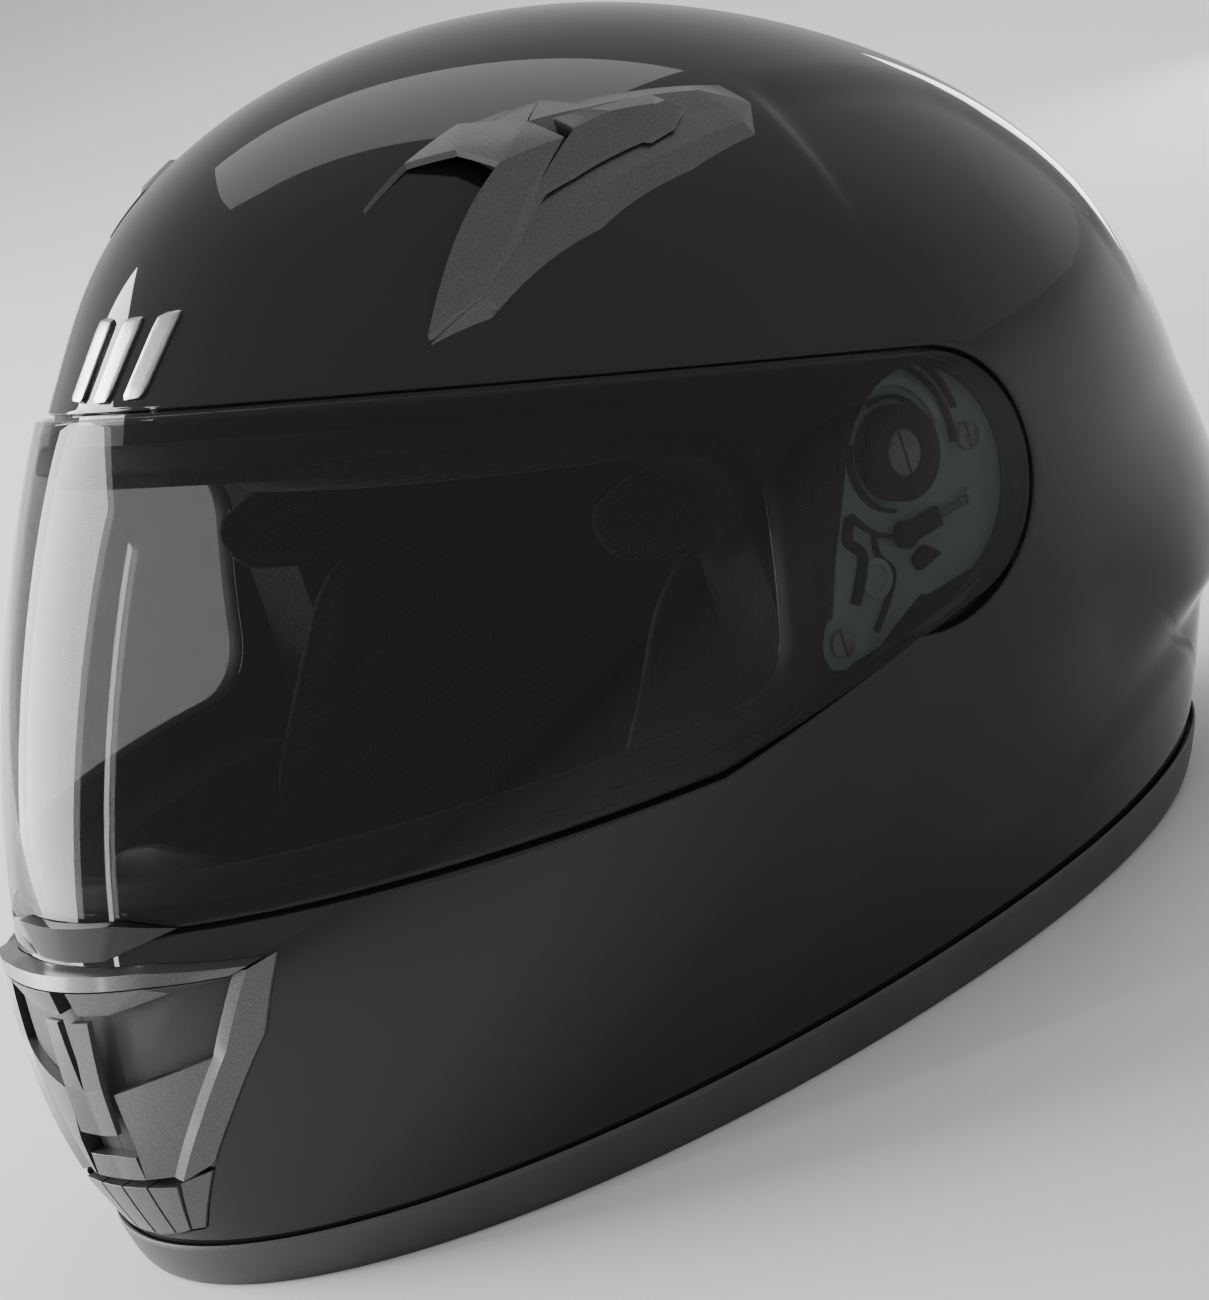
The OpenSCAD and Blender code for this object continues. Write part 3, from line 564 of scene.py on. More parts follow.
# the shell's seat also clears the ear as it swings: its far side then follows a circle round the pivot
earSwing = {"from": math.degrees(math.atan2(visorShape["ear"][1], visorShape["ear"][0])), "to": -110.0,
            "r": math.hypot(*visorShape["ear"]) + visorShape["earR"]}
swingArc = arc((0, 0), earSwing["r"], earSwing["from"], earSwing["to"], 80)
seatEdge = Outline(*joined([line((-240, browLine(-240)), earTop),
                            arc(visorShape["ear"], visorShape["earR"], browNormal, earSwing["from"]), swingArc,
                            [q[6:] for q in line(swingArc[0][-1], cornerArc[0][0], 60)], cornerArc,
                            line(cornerArc[0][-1], (-240, sillLine(-240)), 120)]))

portShape = {"top": (-58.0, browLine(-58.0) - 13.7 - 20 / math.cos(math.radians(browAngle))), "topR": 20.0,
             "low": (-64.0, -49.0 + 10 + 17), "lowR": 17.0}
portTop = arc(portShape["top"], portShape["topR"], browNormal,
              tangentAngle(portShape["top"], portShape["topR"], portShape["low"], portShape["lowR"], 1), 80)
portLow = arc(portShape["low"], portShape["lowR"],
              tangentAngle(portShape["top"], portShape["topR"], portShape["low"], portShape["lowR"], 1),
              -94.7, 80)
portEdge = Outline(*joined([line((-240, browLine(-240) - 13.7), portTop[0][0]), portTop, portLow,
                            line(portLow[0][-1], (-240, sillLine(-240) + 10), 100)]))

# shell
shellLook = {"columns": 460, "rows": 90, "edge": 0.7, "seat": 4.6, "wall": 4.0}


def rimShare(a):
    # distance from the pole at which the hem's plane, or else the middle plane, is reached
    dip = np.minimum(np.sin(a), -0.05)
    s = np.where(np.sin(a) < -0.05, np.clip(form["hem"] / dip / reach(a), 0, 1), 1.0)
    return np.pi / 2 - np.arccos(s ** (fullness(a) / 2))


def hemCorners():
    # angles at which the hem's plane meets the middle plane, at the back and at the front
    found = []
    for first, last in ((180, 270), (345, 280)):
        turns = np.radians(np.linspace(first, last, 4000))
        found.append(turns[np.flatnonzero(reach(turns) * np.sin(turns) < form["hem"])[0]])
    return found


def seatShares():
    # columns spread by length and by angle, with one at each corner of the hem
    even = np.linspace(0, 1, 6000)
    y, z = seatEdge.row(visorShape["gap"] + shellLook["edge"], skin, even)
    a = np.unwrap(angleOf(y, z))
    steps = np.hypot(np.diff(y), np.diff(z))
    spread = np.r_[0, np.cumsum(steps / steps.sum() + np.abs(np.diff(a)) / np.abs(np.diff(a)).sum())]
    shares = np.interp(np.linspace(0, spread[-1], shellLook["columns"]), spread, even)
    places = []
    for corner in hemCorners():
        share = np.interp(corner, a, even)
        places.append(int(np.argmin(np.abs(shares - share))))
        shares[places[-1]] = share
    return shares, places


def shellOutside():
    # each column keeps its angle from the seat's edge out to the hem or the middle plane
    shares, (back, front) = seatShares()
    y, z = seatEdge.row(visorShape["gap"] + shellLook["edge"], skin, shares)
    a, f0 = polar(y, z, skin(y, z))
    f0[0] = f0[-1] = np.pi / 2
    t = np.linspace(0, 1, shellLook["rows"])[:, None]
    f = f0 + (np.maximum(rimShare(a), f0) - f0) * t
    b = np.pi / 2 - f
    a = a + 0 * t
    plain = formPoint(a, b, 0)
    p = formPoint(a, b, skin(plain[..., 1], plain[..., 2]))
    p[:, 0, 0] = p[:, -1, 0] = 0
    p[-1, :back + 1, 0] = p[-1, front:, 0] = 0
    return p, shares, back, front


shellRows, shellShares, hemBack, hemFront = shellOutside()


def seatWall(first):
    # from the painted edge over a small round and down to the seat
    e, g = shellLook["edge"], visorShape["gap"]
    rows = [first]
    for q in np.linspace(0.25, 1, 4):
        turn = q * np.pi / 2
        drop = e * (1 - math.cos(turn))
        y, z = seatEdge.row(g + e * (1 - math.sin(turn)), lambda u, v: skin(u, v) - drop, shellShares)
        rows.append(np.stack([across(y, z, skin(y, z) - drop), y, z], -1))
    for g1, d in ((g, -shellLook["seat"] + 0.5), (g - 0.4, -shellLook["seat"])):
        y, z = seatEdge.row(g1, d, shellShares)
        rows.append(np.stack([across(y, z, d), y, z], -1))
    rows = np.array(rows)
    rows[:, 0, 0] = rows[:, -1, 0] = 0
    return rows


def hemWall(first):
    # under the hem and up the inside
    t = np.arctan2(first[:, 1], first[:, 0])
    rows = [first] + [hemPoint(t, first[:, 2] + up, -shellLook["wall"]) for up in (0.0, 14.0, 30.0)]
    rows = np.array(rows)
    rows[:, 0, 0] = rows[:, -1, 0] = 0
    return rows


build("shellOutside", both([grid(shellRows, flip=True), grid(seatWall(shellRows[0])),
                            grid(hemWall(shellRows[-1, hemBack:hemFront + 1]), flip=True)]),
      paint, replace=["outer_shell"])
print("stage: shell")

pocket = {"floor": 109.5, "r": 28.5, "lobe": (-34.0, -36.0), "lobeR": 7.6}
pocketArcs = [tangentAngle(visorShape["ear"], pocket["r"], pocket["lobe"], pocket["lobeR"], s) for s in (-1, 1)]


def pocketOutline(count=240):
    # hull of two circles, as directions from the ear's middle
    upper, lower = pocketArcs
    big = arc(visorShape["ear"], pocket["r"], upper, lower, 400)[0]
    small = arc(pocket["lobe"], pocket["lobeR"], lower, upper, 100)[0]
    p = np.vstack([big, small, big[:1]])
    s = np.r_[0, np.cumsum(np.hypot(*np.diff(p, axis=0).T))]
    u = np.linspace(0, s[-1], count + 1)
    return np.stack([np.interp(u, s, p[:, k]) for k in (0, 1)], 1)


def seatFloor():
    ring = pocketOutline()
    top = int(np.argmax(ring[:, 1]))
    low = int(np.argmin(ring[:, 1] + 0.15 * ring[:, 0]))
    ring = np.roll(ring[:-1], -top, axis=0)
    low = (low - top) % len(ring)
    back, front = ring[:low + 1], np.vstack([ring[low:], ring[:1]])[::-1]
    seat = -shellLook["seat"]
    y, z = portEdge.row(0, seat, 700)
    inner = np.stack([y, z], 1)
    i = int(np.argmin(np.abs(inner[:350, 0] + 62)))
    j = 350 + int(np.argmin(np.abs(inner[350:, 0] + 66)))
    bridge = lambda a, b: np.array(a) + np.linspace(0, 1, 40)[1:-1, None] * (np.array(b) - np.array(a))
    path = np.vstack([inner[:i + 1], bridge(inner[i], back[0]), back, bridge(back[-1], inner[j]), inner[j:]])
    s = np.r_[0, np.cumsum(np.hypot(*np.diff(path, axis=0).T))]
    u = np.linspace(0, s[-1], shellLook["columns"])
    path = np.stack([np.interp(u, s, path[:, k]) for k in (0, 1)], 1)
    y, z = seatEdge.row(visorShape["gap"] - 0.4, seat, shellLook["columns"])
    outer = np.stack([y, z], 1)
    t = np.linspace(0, 1, 9)[:, None, None]
    q = outer * (1 - t) + path * t
    strip = np.stack([across(q[..., 0], q[..., 1], seat), q[..., 0], q[..., 1]], -1)
    strip[:, 0, 0] = strip[:, -1, 0] = 0
    even = lambda p, n: np.stack([np.interp(np.linspace(0, 1, n), np.linspace(0, 1, len(p)), p[:, k])
                                  for k in (0, 1)], 1)
    q = even(front, 90) * (1 - t) + even(inner[i:j + 1], 90) * t
    gapPatch = np.stack([across(q[..., 0], q[..., 1], seat), q[..., 0], q[..., 1]], -1)
    closed = np.vstack([ring, ring[:1]])
    wall = np.stack([np.stack([np.full(len(closed), pocket["floor"]) if k else
                               across(closed[:, 0], closed[:, 1], seat), closed[:, 0], closed[:, 1]], 1)
                     for k in (0, 1)])
    t = np.linspace(1, 0, 6)[:, None, None]
    q = closed * t + np.array([0, -14.0]) * (1 - t)
    floorDisc = np.stack([np.full(q.shape[:2], pocket["floor"]), q[..., 0], q[..., 1]], -1)
    rows = []
    for g, d in ((0, seat), (-0.3, seat - 0.3), (-0.3, seat - 5)):
        y, z = portEdge.row(g, d, 400)
        rows.append(np.stack([across(y, z, d), y, z], 1))
    rows = np.array(rows)
    rows[:, 0, 0] = rows[:, -1, 0] = 0
    return [grid(strip), grid(gapPatch, flip=True), grid(wall), grid(floorDisc), grid(rows)]


build("shellSeat", both(seatFloor()), paint, angle=40)

# visor
visorLookShape = {"outside": -0.2, "wall": 2.2, "count": 320, "rows": 44, "round": 0.7}


def visorSurface(g, d, rows):
    # fan from the pole out to the outline, straight in (distance from the pole, angle) seen as a flat disc
    count = visorLookShape["count"]
    y, z = visorEdge.row(g, d, count)
    a, f = polar(y, z, d)
    f[0] = f[-1] = np.pi / 2
    a = np.unwrap(a)
    middle = np.linspace(a[-1], a[0] + 2 * np.pi, 70)[1:-1]
    u = np.r_[-f * np.cos(a), -np.pi / 2 * np.cos(middle)]
    v = np.r_[f * np.sin(a), np.pi / 2 * np.sin(middle)]
    t = np.linspace(0, 1, rows)[:, None]
    flat = np.hypot(u, v) * t
    turn = np.arctan2(v * t + 1e-12, -u * t)
    p = formPoint(turn, np.pi / 2 - flat, d)
    p[0] = [form["halfWidth"] + d, 0, 0]
    p[-1, :count] = np.stack([across(y, z, d), y, z], 1)
    p[-1, count - 1:, 0] = 0
    p[-1, 0, 0] = 0
    return p


def visorParts():
    d0, wall, r = visorLookShape["outside"], visorLookShape["wall"], visorLookShape["round"]
    out = visorSurface(-r, d0, visorLookShape["rows"])
    into = visorSurface(-r, d0 - wall, visorLookShape["rows"])
    count = visorLookShape["count"]
    rim = [out[-1, :count]]
    for g, d in ((-r * 0.3, d0 - r * 0.3), (0, d0 - r), (0, d0 - wall + r), (-r * 0.3, d0 - wall + r * 0.3)):
        y, z = visorEdge.row(g, d, count)
        rim.append(np.stack([across(y, z, d), y, z], 1))
    rim = np.array(rim + [into[-1, :count]])
    rim[:, 0, 0] = rim[:, -1, 0] = 0
    return both([grid(out, closed=True), grid(into, closed=True, flip=True), grid(rim)])


build("visorShield", visorParts(), smoke, body="visor", replace=["visor"])
print("stage: visor")


# slabs on the front and the top
def cornered(points, r, steps=5):
    # closed outline with round corners
    p = np.array(points, float)
    out = []
    for i in range(len(p)):
        a, b, c = p[i - 1], p[i], p[(i + 1) % len(p)]
        u, v = (a - b) / np.hypot(*(a - b)), (c - b) / np.hypot(*(c - b))
        k = min(r, 0.45 * np.hypot(*(a - b)), 0.45 * np.hypot(*(c - b)))
        for t in np.linspace(0, 1, steps):
            out.append(b + u * k * (1 - t) ** 2 + v * k * t**2)
    return np.array(out)


def grown(points, g):
    # closed outline moved out by g along its normals
    p = np.array(points)
    t = np.roll(p, -1, 0) - np.roll(p, 1, 0)
    n = np.stack([t[:, 1], -t[:, 0]], 1)
    n /= np.linalg.norm(n, axis=1)[:, None] + 1e-12
    area = 0.5 * np.sum(p[:, 0] * np.roll(p[:, 1], -1) - np.roll(p[:, 0], -1) * p[:, 1])
    return p + g * n * (1 if area > 0 else -1)


def dense(points, step=1.5):
    p = np.vstack([points, points[:1]])
    s = np.r_[0, np.cumsum(np.hypot(*np.diff(p, axis=0).T))]
    u = np.linspace(0, s[-1], max(12, int(s[-1] / step)) + 1)[:-1]
    return np.stack([np.interp(u, s, p[:, k]) for k in (0, 1)], 1)


def slab(place, points, top, low=0.3, bevel=0.8, corner=1.2, fan=9):
    # solid over an outline: side, bevel, then a fan to its middle; top is a level or a function of the place
    p = dense(cornered(points, corner))
    if 0.5 * np.sum(p[:, 0] * np.roll(p[:, 1], -1) - np.roll(p[:, 0], -1) * p[:, 1]) < 0:
        p = p[::-1]
    level = top if callable(top) else (lambda q: np.full(len(q), float(top)))
    c = np.mean(p, 0)
    rows = []
    inset = grown(p, -bevel)
    rows.append(place(p[:, 0], p[:, 1], np.full(len(p), low)))
    rows.append(place(p[:, 0], p[:, 1], np.maximum(level(p) - bevel, low + 0.05)))
    half = grown(p, -0.3 * bevel)
    rows.append(place(half[:, 0], half[:, 1], np.maximum(level(half) - 0.3 * bevel, low + 0.1)))
    for t in np.linspace(1, 0, fan):
        q = c + (inset - c) * t
        rows.append(place(q[:, 0], q[:, 1], level(q)))
    bottom = [place(*(c + (p - c) * t).T, np.full(len(p), low)) for t in np.linspace(0, 1, 3)]
    flip = place is frontPoint
    return [grid(np.array(rows), closed=True, flip=flip), grid(np.array(bottom), closed=True, flip=flip)]


def tilt(at, level, slope):
    # level at a place, changing evenly with the distance from it
    at, slope = np.array(at, float), np.array(slope, float)
    return lambda q: level + (q - at) @ slope


def facets(place, corners, faces, low=0.3, count=8):
    # closed piece over named corners (two places and a level): each face bilinear, with walls and an underside
    parts, edges = [], {}
    under = low if callable(low) else (lambda level: np.full(np.shape(level), float(low)))
    u, v = np.meshgrid(np.linspace(0, 1, count + 1), np.linspace(0, 1, count + 1))
    for face in faces:
        c = np.array([corners[n] for n in face], float)
        turn = 0.5 * np.sum(c[:, 0] * np.roll(c[:, 1], -1) - np.roll(c[:, 0], -1) * c[:, 1])
        names = list(face) if turn > 0 else list(face)[::-1]
        names = names + names[-1:] if len(names) == 3 else names
        a, b, c, d = (np.array(corners[n], float) for n in names)
        q = ((1 - u) * (1 - v))[..., None] * a + (u * (1 - v))[..., None] * b + (u * v)[..., None] * c
        q = q + ((1 - u) * v)[..., None] * d
        parts.append(grid(place(q[..., 0], q[..., 1], q[..., 2])))
        parts.append(grid(place(q[..., 0], q[..., 1], under(q[..., 2])), flip=True))
        for k in range(4):
            if names[k] != names[(k + 1) % 4]:
                edges.setdefault(frozenset((names[k], names[(k + 1) % 4])), []).append((names[k], names[(k + 1) % 4]))
    for ways in edges.values():
        a, b = (np.array(corners[n], float) for n in ways[0])
        if len(ways) == 1 and (a[0] or b[0]):
            q = a + np.linspace(0, 1, count + 1)[:, None] * (b - a)
            parts.append(grid(np.stack([place(q[:, 0], q[:, 1], under(q[:, 2])), place(*q.T)])))
    return parts


def crisp(obj, width=0.22):
    # narrow round edges that catch the light
    edge = obj.modifiers.new("edge", "BEVEL")
    edge.width, edge.segments, edge.limit_method, edge.angle_limit = width / 1000, 2, "ANGLE", math.radians(14)
    edge.harden_normals = True
    return obj


# lifting tab: wings that taper along the visor's lower edge
tabCorners = {"a": (0, -36, 3.9), "b": (19.5, -36, 3.6), "c": (34, -39.4, 0.6), "d": (13, -44.6, 2.0),
              "e": (0, -44.8, 2.1), "f": (20.5, -37.2, 3.0)}
tabParts = both(facets(frontPoint, tabCorners, ["abde", "bfd", "bcf", "fcd"], low=0.45))
crisp(build("visorTab", tabParts, smokeBlack, body="visor", angle=16))

# chin vent
chinVent = {"crest": 4.8, "stripe": 3.5, "foot": 5.8, "rib": 6.4}


def chinVentParts():
    # right half: dark outer slope, bright stripe, lower plane, band over the inlet, foot panels
    crest, stripe = chinVent["crest"], chinVent["stripe"]
    corners = {"a": (54.5, -49.8, 1.0), "b": (48.6, -68, 1.0), "c": (36.8, -85, 1.0), "d": (27.2, -98, 1.0),
               "e": (51.0, -51.0, crest), "f": (42.8, -69.2, crest), "g": (31.8, -85.4, crest), "h": (20.8, -100.4, crest),
               "i": (47.2, -51.2, stripe), "j": (38.4, -70.4, stripe), "k": (27.8, -85.6, stripe),
               "l": (17.4, -99.6, stripe), "m": (9.2, -76.6, 4.7), "n": (11.2, -89.6, 5.3), "o": (10.2, -99.2, 5.5)}
    half = facets(frontPoint, corners, ["aefb", "bfgc", "cghd", "eijf", "fjkg", "gklh", "jmnk", "knol"])
    corners = {"a": (0, -46.4, 6.3), "b": (26.4, -46.8, 6.0), "c": (51.5, -50.2, 4.9), "d": (47, -51.6, 4.7),
               "e": (27.5, -50.2, 6.3), "f": (0, -50.0, 6.6)}
    half += facets(frontPoint, corners, ["abef", "bcde"])
    # slope under the band, down to the inlet's top
    corners = {"a": (3.2, -50.3, 7.0), "b": (27, -50.5, 6.4), "c": (46.6, -51.9, 4.4), "d": (31, -53.6, 2.4),
               "e": (14.5, -56.6, 4.4), "f": (3.6, -56.6, 4.8)}
    half += facets(frontPoint, corners, ["abef", "bcd", "bde"])
    corners = {"a": (0, -93.4, 4.4), "b": (9.2, -93.4, 5.0), "c": (9.8, -99.4, 5.3), "d": (0, -99.8, 4.6)}
    half += facets(frontPoint, corners, ["abcd"])
    return both(half)


crisp(build("chinVentFrame", chinVentParts(), ventGrey, replace=["chin_vent_housing"],
            angle=14))
footParts, f = [], chinVent["foot"]
for corners in ({"a": (0.35, -101.4, f), "b": (9.0, -101.4, f - 0.1), "c": (7.4, -116.2, 3.2), "d": (0.35, -116.6, 3.4)},
                {"a": (9.7, -101.4, f - 0.1), "b": (18.6, -101.6, f - 0.5), "c": (12.6, -115.4, 2.8),
                 "d": (8.1, -116.2, 3.2)},
                {"a": (19.4, -101.0, 4.6), "b": (26.0, -99.8, 1.0), "c": (15.6, -115.6, 1.0), "d": (13.3, -115.3, 2.6)},
                {"a": (0.35, -116.9, 2.6), "b": (12.6, -115.9, 2.4), "c": (15.4, -116.2, 0.9), "d": (0.35, -119.0, 0.9)}):
    footParts += facets(frontPoint, corners, ["abcd"], count=6)
crisp(build("chinVentFoot", both(footParts), ventGrey, angle=14))


def grilleParts():
    # smooth dark inlet floor, folded along a line
    corners = {"a": (46.8, -52, 0.9), "b": (37.8, -70.8, 0.9), "c": (8, -77.6, 0.9), "d": (8, -55, 0.9),
               "e": (36, -53, 1.9), "f": (23.6, -66, 1.3), "g": (20, -74, 0.9)}
    parts = facets(frontPoint, corners, ["abfe", "bgf", "efgc", "ecd"], low=0.25)
    # floor of the slider's channel
    parts += slab(frontPoint, [(0.05, -52), (9, -52), (9, -101), (0.05, -101)], 0.9, low=0.3, bevel=0.1, corner=0.2)
    return both(parts)


build("chinVentMesh", grilleParts(), meshBlack, replace=["chin_vent_grille"], angle=14)
r = chinVent["rib"]
corners = {"a": (2.8, -57.6, r + 0.4), "b": (8.6, -57.6, r), "c": (7.6, -74, r), "d": (0.25, -74.5, r - 0.2),
           "e": (0, -75.5, r - 0.7), "f": (7.6, -86.6, r - 0.1), "g": (0, -87.4, r - 1.0)}
ribParts = both(facets(frontPoint, corners, ["abcd", "dce", "ecfg"], low=4.7))
crisp(build("chinVentSlider", ribParts, ventGrey, body="chin_slider", replace=["chin_vent_slider"],
            angle=14))
print("stage: chin vent")

# top vents
topVent = {"hood": 7.2, "roof": 1.4, "slider": 8.0}


def topVentParts():
    hood = topVent["hood"]
    # roof over the open inlet
    corners = {"a": (54.0, -68.4, 2.0), "b": (58.6, -52.8, 4.4), "c": (71.0, -42.0, 6.5), "d": (79.4, -39.6, hood),
               "e": (74.6, -57.1, hood), "f": (63.9, -60.1, 5.2), "t": (52.1, -83.2, 0.9), "i": (54.6, -54.6, 0.8),
               "j": (61.6, -28.6, 0.8)}
    parts = facets(topPoint, corners, ["afb", "fecb", "edc", "tai", "abi", "ibcj"],
                   low=lambda level: np.maximum(level - topVent["roof"], 0.1))
    # leg down the outside of the inlet
    corners = {"e": (74.6, -57.1, hood), "d": (79.4, -39.6, hood), "l": (82.0, -65.0, 4.8), "k": (80.2, -79.2, 2.8),
               "m": (73.6, -75.0, 4.2), "n": (72.3, -92.6, 0.8)}
    parts += facets(topPoint, corners, ["edlm", "mlkn"], low=0.1)
    # deck, floor beside the slider, and the outer slope under its bright line
    corners = {"j": (61.6, -28.6, 0.8), "c": (71.0, -41.6, 6.3), "h": (73.6, -24, 4.2), "o": (66.8, -22, 1.0),
               "p": (74.2, 6.4, 1.0), "q": (78.6, 6.4, 2.6), "r": (76.4, 15.4, 0.8), "s": (82.8, 17.6, 0.9),
               "a": (79.6, -62, 2.0), "b": (79.8, -44, 2.4), "e": (82, -6, 2.5), "f": (83.4, 8, 2.0),
               "k": (80.4, -79.0, 2.6), "l": (86.4, -44, 3.0), "m": (88.8, -14, 2.8), "n": (87.8, 9.2, 1.8),
               "u": (72.8, -92.8, 0.2), "v": (81.0, -76.5, 0.2), "w": (88.4, -45, 0.2), "x": (90.4, -13.5, 0.2),
               "y": (89.0, 10.4, 0.2)}
    parts += facets(topPoint, corners, ["jcho", "ohqp", "pqsr", "cbeh", "hefq", "qfns", "aklb", "blme", "emnf",
                                        "kuv", "kvwl", "lwxm", "mxyn", "nys"], low=0.05, count=10)
    return parts


def ventSliderParts():
    top = topVent["slider"]
    corners = {"a": (75.0, -37.6, top - 0.4), "b": (78.4, -28.4, top), "c": (81.4, -24.0, top), "d": (80.0, -36.4, top),
               "e": (83.2, -43.5, 4.5), "f": (80.8, -57.0, 4.0), "g": (82.2, -11.6, 6.2), "h": (85.2, -21.6, 4.3),
               "i": (83.2, -8.4, 6.8), "j": (86.2, -20.0, 4.5), "k": (83.0, -3.4, 3.9), "l": (86.0, -11.2, 3.9),
               "m": (77.6, -8, 4.4)}
    return facets(topPoint, corners, ["abcd", "dcef", "cghe", "gijh", "iklj", "bmgc", "mkig"], low=3.4, count=8)


def throatParts():
    return slab(topPoint, [(57.5, -56.5), (76, -52.5), (77.5, -43), (70.5, -42.5), (60, -51.5)],
                tilt((58, -54), 2.6, (0.11, 0.0)), low=0.1, bevel=0.3)


for side, flipped in (("left", False), ("right", True)):
    turned = turnedOver if flipped else (lambda parts: parts)
    crisp(build("topVent_" + side, turned(topVentParts()), ventGrey, replace=["top_vent_" + side],
                angle=14))
    build("topVentThroat_" + side, turned(throatParts()), meshBlack, angle=30)
    crisp(build("topVentSlider_" + side, turned(ventSliderParts()), ventGrey, body="top_slider_" + side,
                replace=["top_vent_slider_" + side], angle=14))
print("stage: top vents")


# trim and gasket
trim = {"height": 13.0, "count": 360}


def trimParts():
    # rounded profile swept round the hem: offsets from the form, and heights
    h = trim["height"]
    profile = [(0.3, 0.35), (0.9, 0.0), (1.5, 0.8), (1.9, 2.4), (2.05, 5.2), (1.85, h - 2.2), (1.7, h - 1.2),
               (1.2, h - 0.35), (0.5, h - 0.6), (0.5, h - 3), (-5.6, h - 3), (-8.4, h - 4.2), (-8.9, h - 6.5),
               (-8.8, 2.0), (-8.2, 0.2), (-7.0, 0.0), (-1.0, 0.0)]
    t = np.linspace(0, 2 * np.pi, trim["count"], endpoint=False)
    rows = [hemPoint(t, z - 134.0, d) for d, z in profile + profile[:1]]
    return [grid(np.array(rows), closed=True, flip=True)]


build("edgeTrim", trimParts(), trimRubber, replace=["edge_trim"], angle=50)


def gasketParts():
    rows = []
    for g, d in ((6.2, -4.5), (6.3, -3.6), (5.8, -3.1), (4.0, -2.95), (2.0, -3.0), (0.6, -3.05), (-0.5, -3.6),
                 (-0.9, -5.2), (-0.8, -8.5), (-0.2, -9.4)):
        y, z = portEdge.row(g, d, 420)
        rows.append(np.stack([across(y, z, d), y, z], 1))
    rows = np.array(rows)
    rows[:, 0, 0] = rows[:, -1, 0] = 0
    return both([grid(rows)])


build("portGasket", gasketParts(), sealRubber, replace=["eye_port_gasket"])
print("stage: trim and gasket")

# pads
padLook = {"pipe": 1.5, "cheekIn": 54.0, "cheekMid": 70.0, "cheekOut": 80.6, "channel": 22.0, "quilt": 4.2}


def tube(path, r, count=10, closed=True):
    # round tube along a path
    p = np.asarray(path, float)
    t = np.roll(p, -1, 0) - np.roll(p, 1, 0) if closed else np.gradient(p, axis=0)
    t /= np.linalg.norm(t, axis=1)[:, None]
    side = np.cross(t, [0.31, 0.2, 0.93])
    side /= np.linalg.norm(side, axis=1)[:, None]
    over = np.cross(side, t)
    a = np.linspace(0, 2 * np.pi, count, endpoint=False)
    rows = p[:, None] + r * (np.cos(a)[None, :, None] * side[:, None] + np.sin(a)[None, :, None] * over[:, None])
    if closed:
        rows = np.concatenate([rows, rows[:1]])
    else:
        rows = np.concatenate([np.repeat(p[:1, None], count, 1), rows, np.repeat(p[-1:, None], count, 1)])
    return grid(rows, closed=True)


def cushion(outline, corner, inner, middle, outer, creases=()):
    # crowned faces either side of a seam: thickness falls to nothing at the outline, as a superellipse
    p = dense(cornered(outline, corner, 9), 1.6)
    if 0.5 * np.sum(p[:, 0] * np.roll(p[:, 1], -1) - np.roll(p[:, 0], -1) * p[:, 1]) < 0:
        p = p[::-1]
    c = p.mean(0)
    t = np.sin(np.linspace(0, np.pi / 2, 34))[:, None, None]
    q = c + (p - c) * t
    swell = np.clip(1 - t[..., 0] ** 3.4, 0, 1) ** 0.55 * np.ones(q.shape[:2])
    dip = 0
    for path in creases:
        d, _ = toLine(q[..., 0], q[..., 1], smoothLine(path))
        dip = dip + 3.4 * np.exp(-(d / 2.6) ** 2) + 2.4 * np.exp(-(d / 8) ** 2)
    wave = 0.5 * np.sin(q[..., 0] / 9) * np.cos(q[..., 1] / 11)
    face = middle - (middle - inner) * swell + (dip + wave) * swell
    back = middle + (outer - middle) * swell
    front = np.stack([face, q[..., 0], q[..., 1]], -1)
    rear = np.stack([back, q[..., 0], q[..., 1]], -1)
    rim = np.stack([np.full(len(p), middle - 0.4), p[:, 0], p[:, 1]], 1)
    return [grid(front, closed=True, flip=True), grid(rear, closed=True),
            tube(rim, padLook["pipe"])]


cheek = [(-80, -100), (-80, -58), (-64, -38), (-44, -14), (-24, -8), (0, -18), (4, -60), (4, -103), (-40, -103)]
cheekParts = cushion(cheek, 16, padLook["cheekIn"], padLook["cheekMid"], padLook["cheekOut"],
                     [[(-78, -62), (-40, -58), (2, -50)], [(-60, -40), (-36, -36), (-2, -30)]])
for side in ("left", "right"):
    parts = cheekParts if side == "left" else turnedOver(cheekParts)
    build("cheekPad_" + side, parts, knit, replace=["cheek_pad_" + side])

# temple pads, on the liner beside the eye port
temple = [(-66, 12), (-44, 16), (-28, 8), (-26, -6), (-40, -8), (-62, 0)]
templeParts = cushion(temple, 8, 68.0, 76.0, 80.0, [[(-62, 7), (-44, 5), (-30, 2)]])
build("templePads", both(templeParts), knit)

head = {"middle": (0.0, -2.0, 0.0), "half": (84.0, 98.0, 90.0), "gap": 0.4, "thick": 6.2}


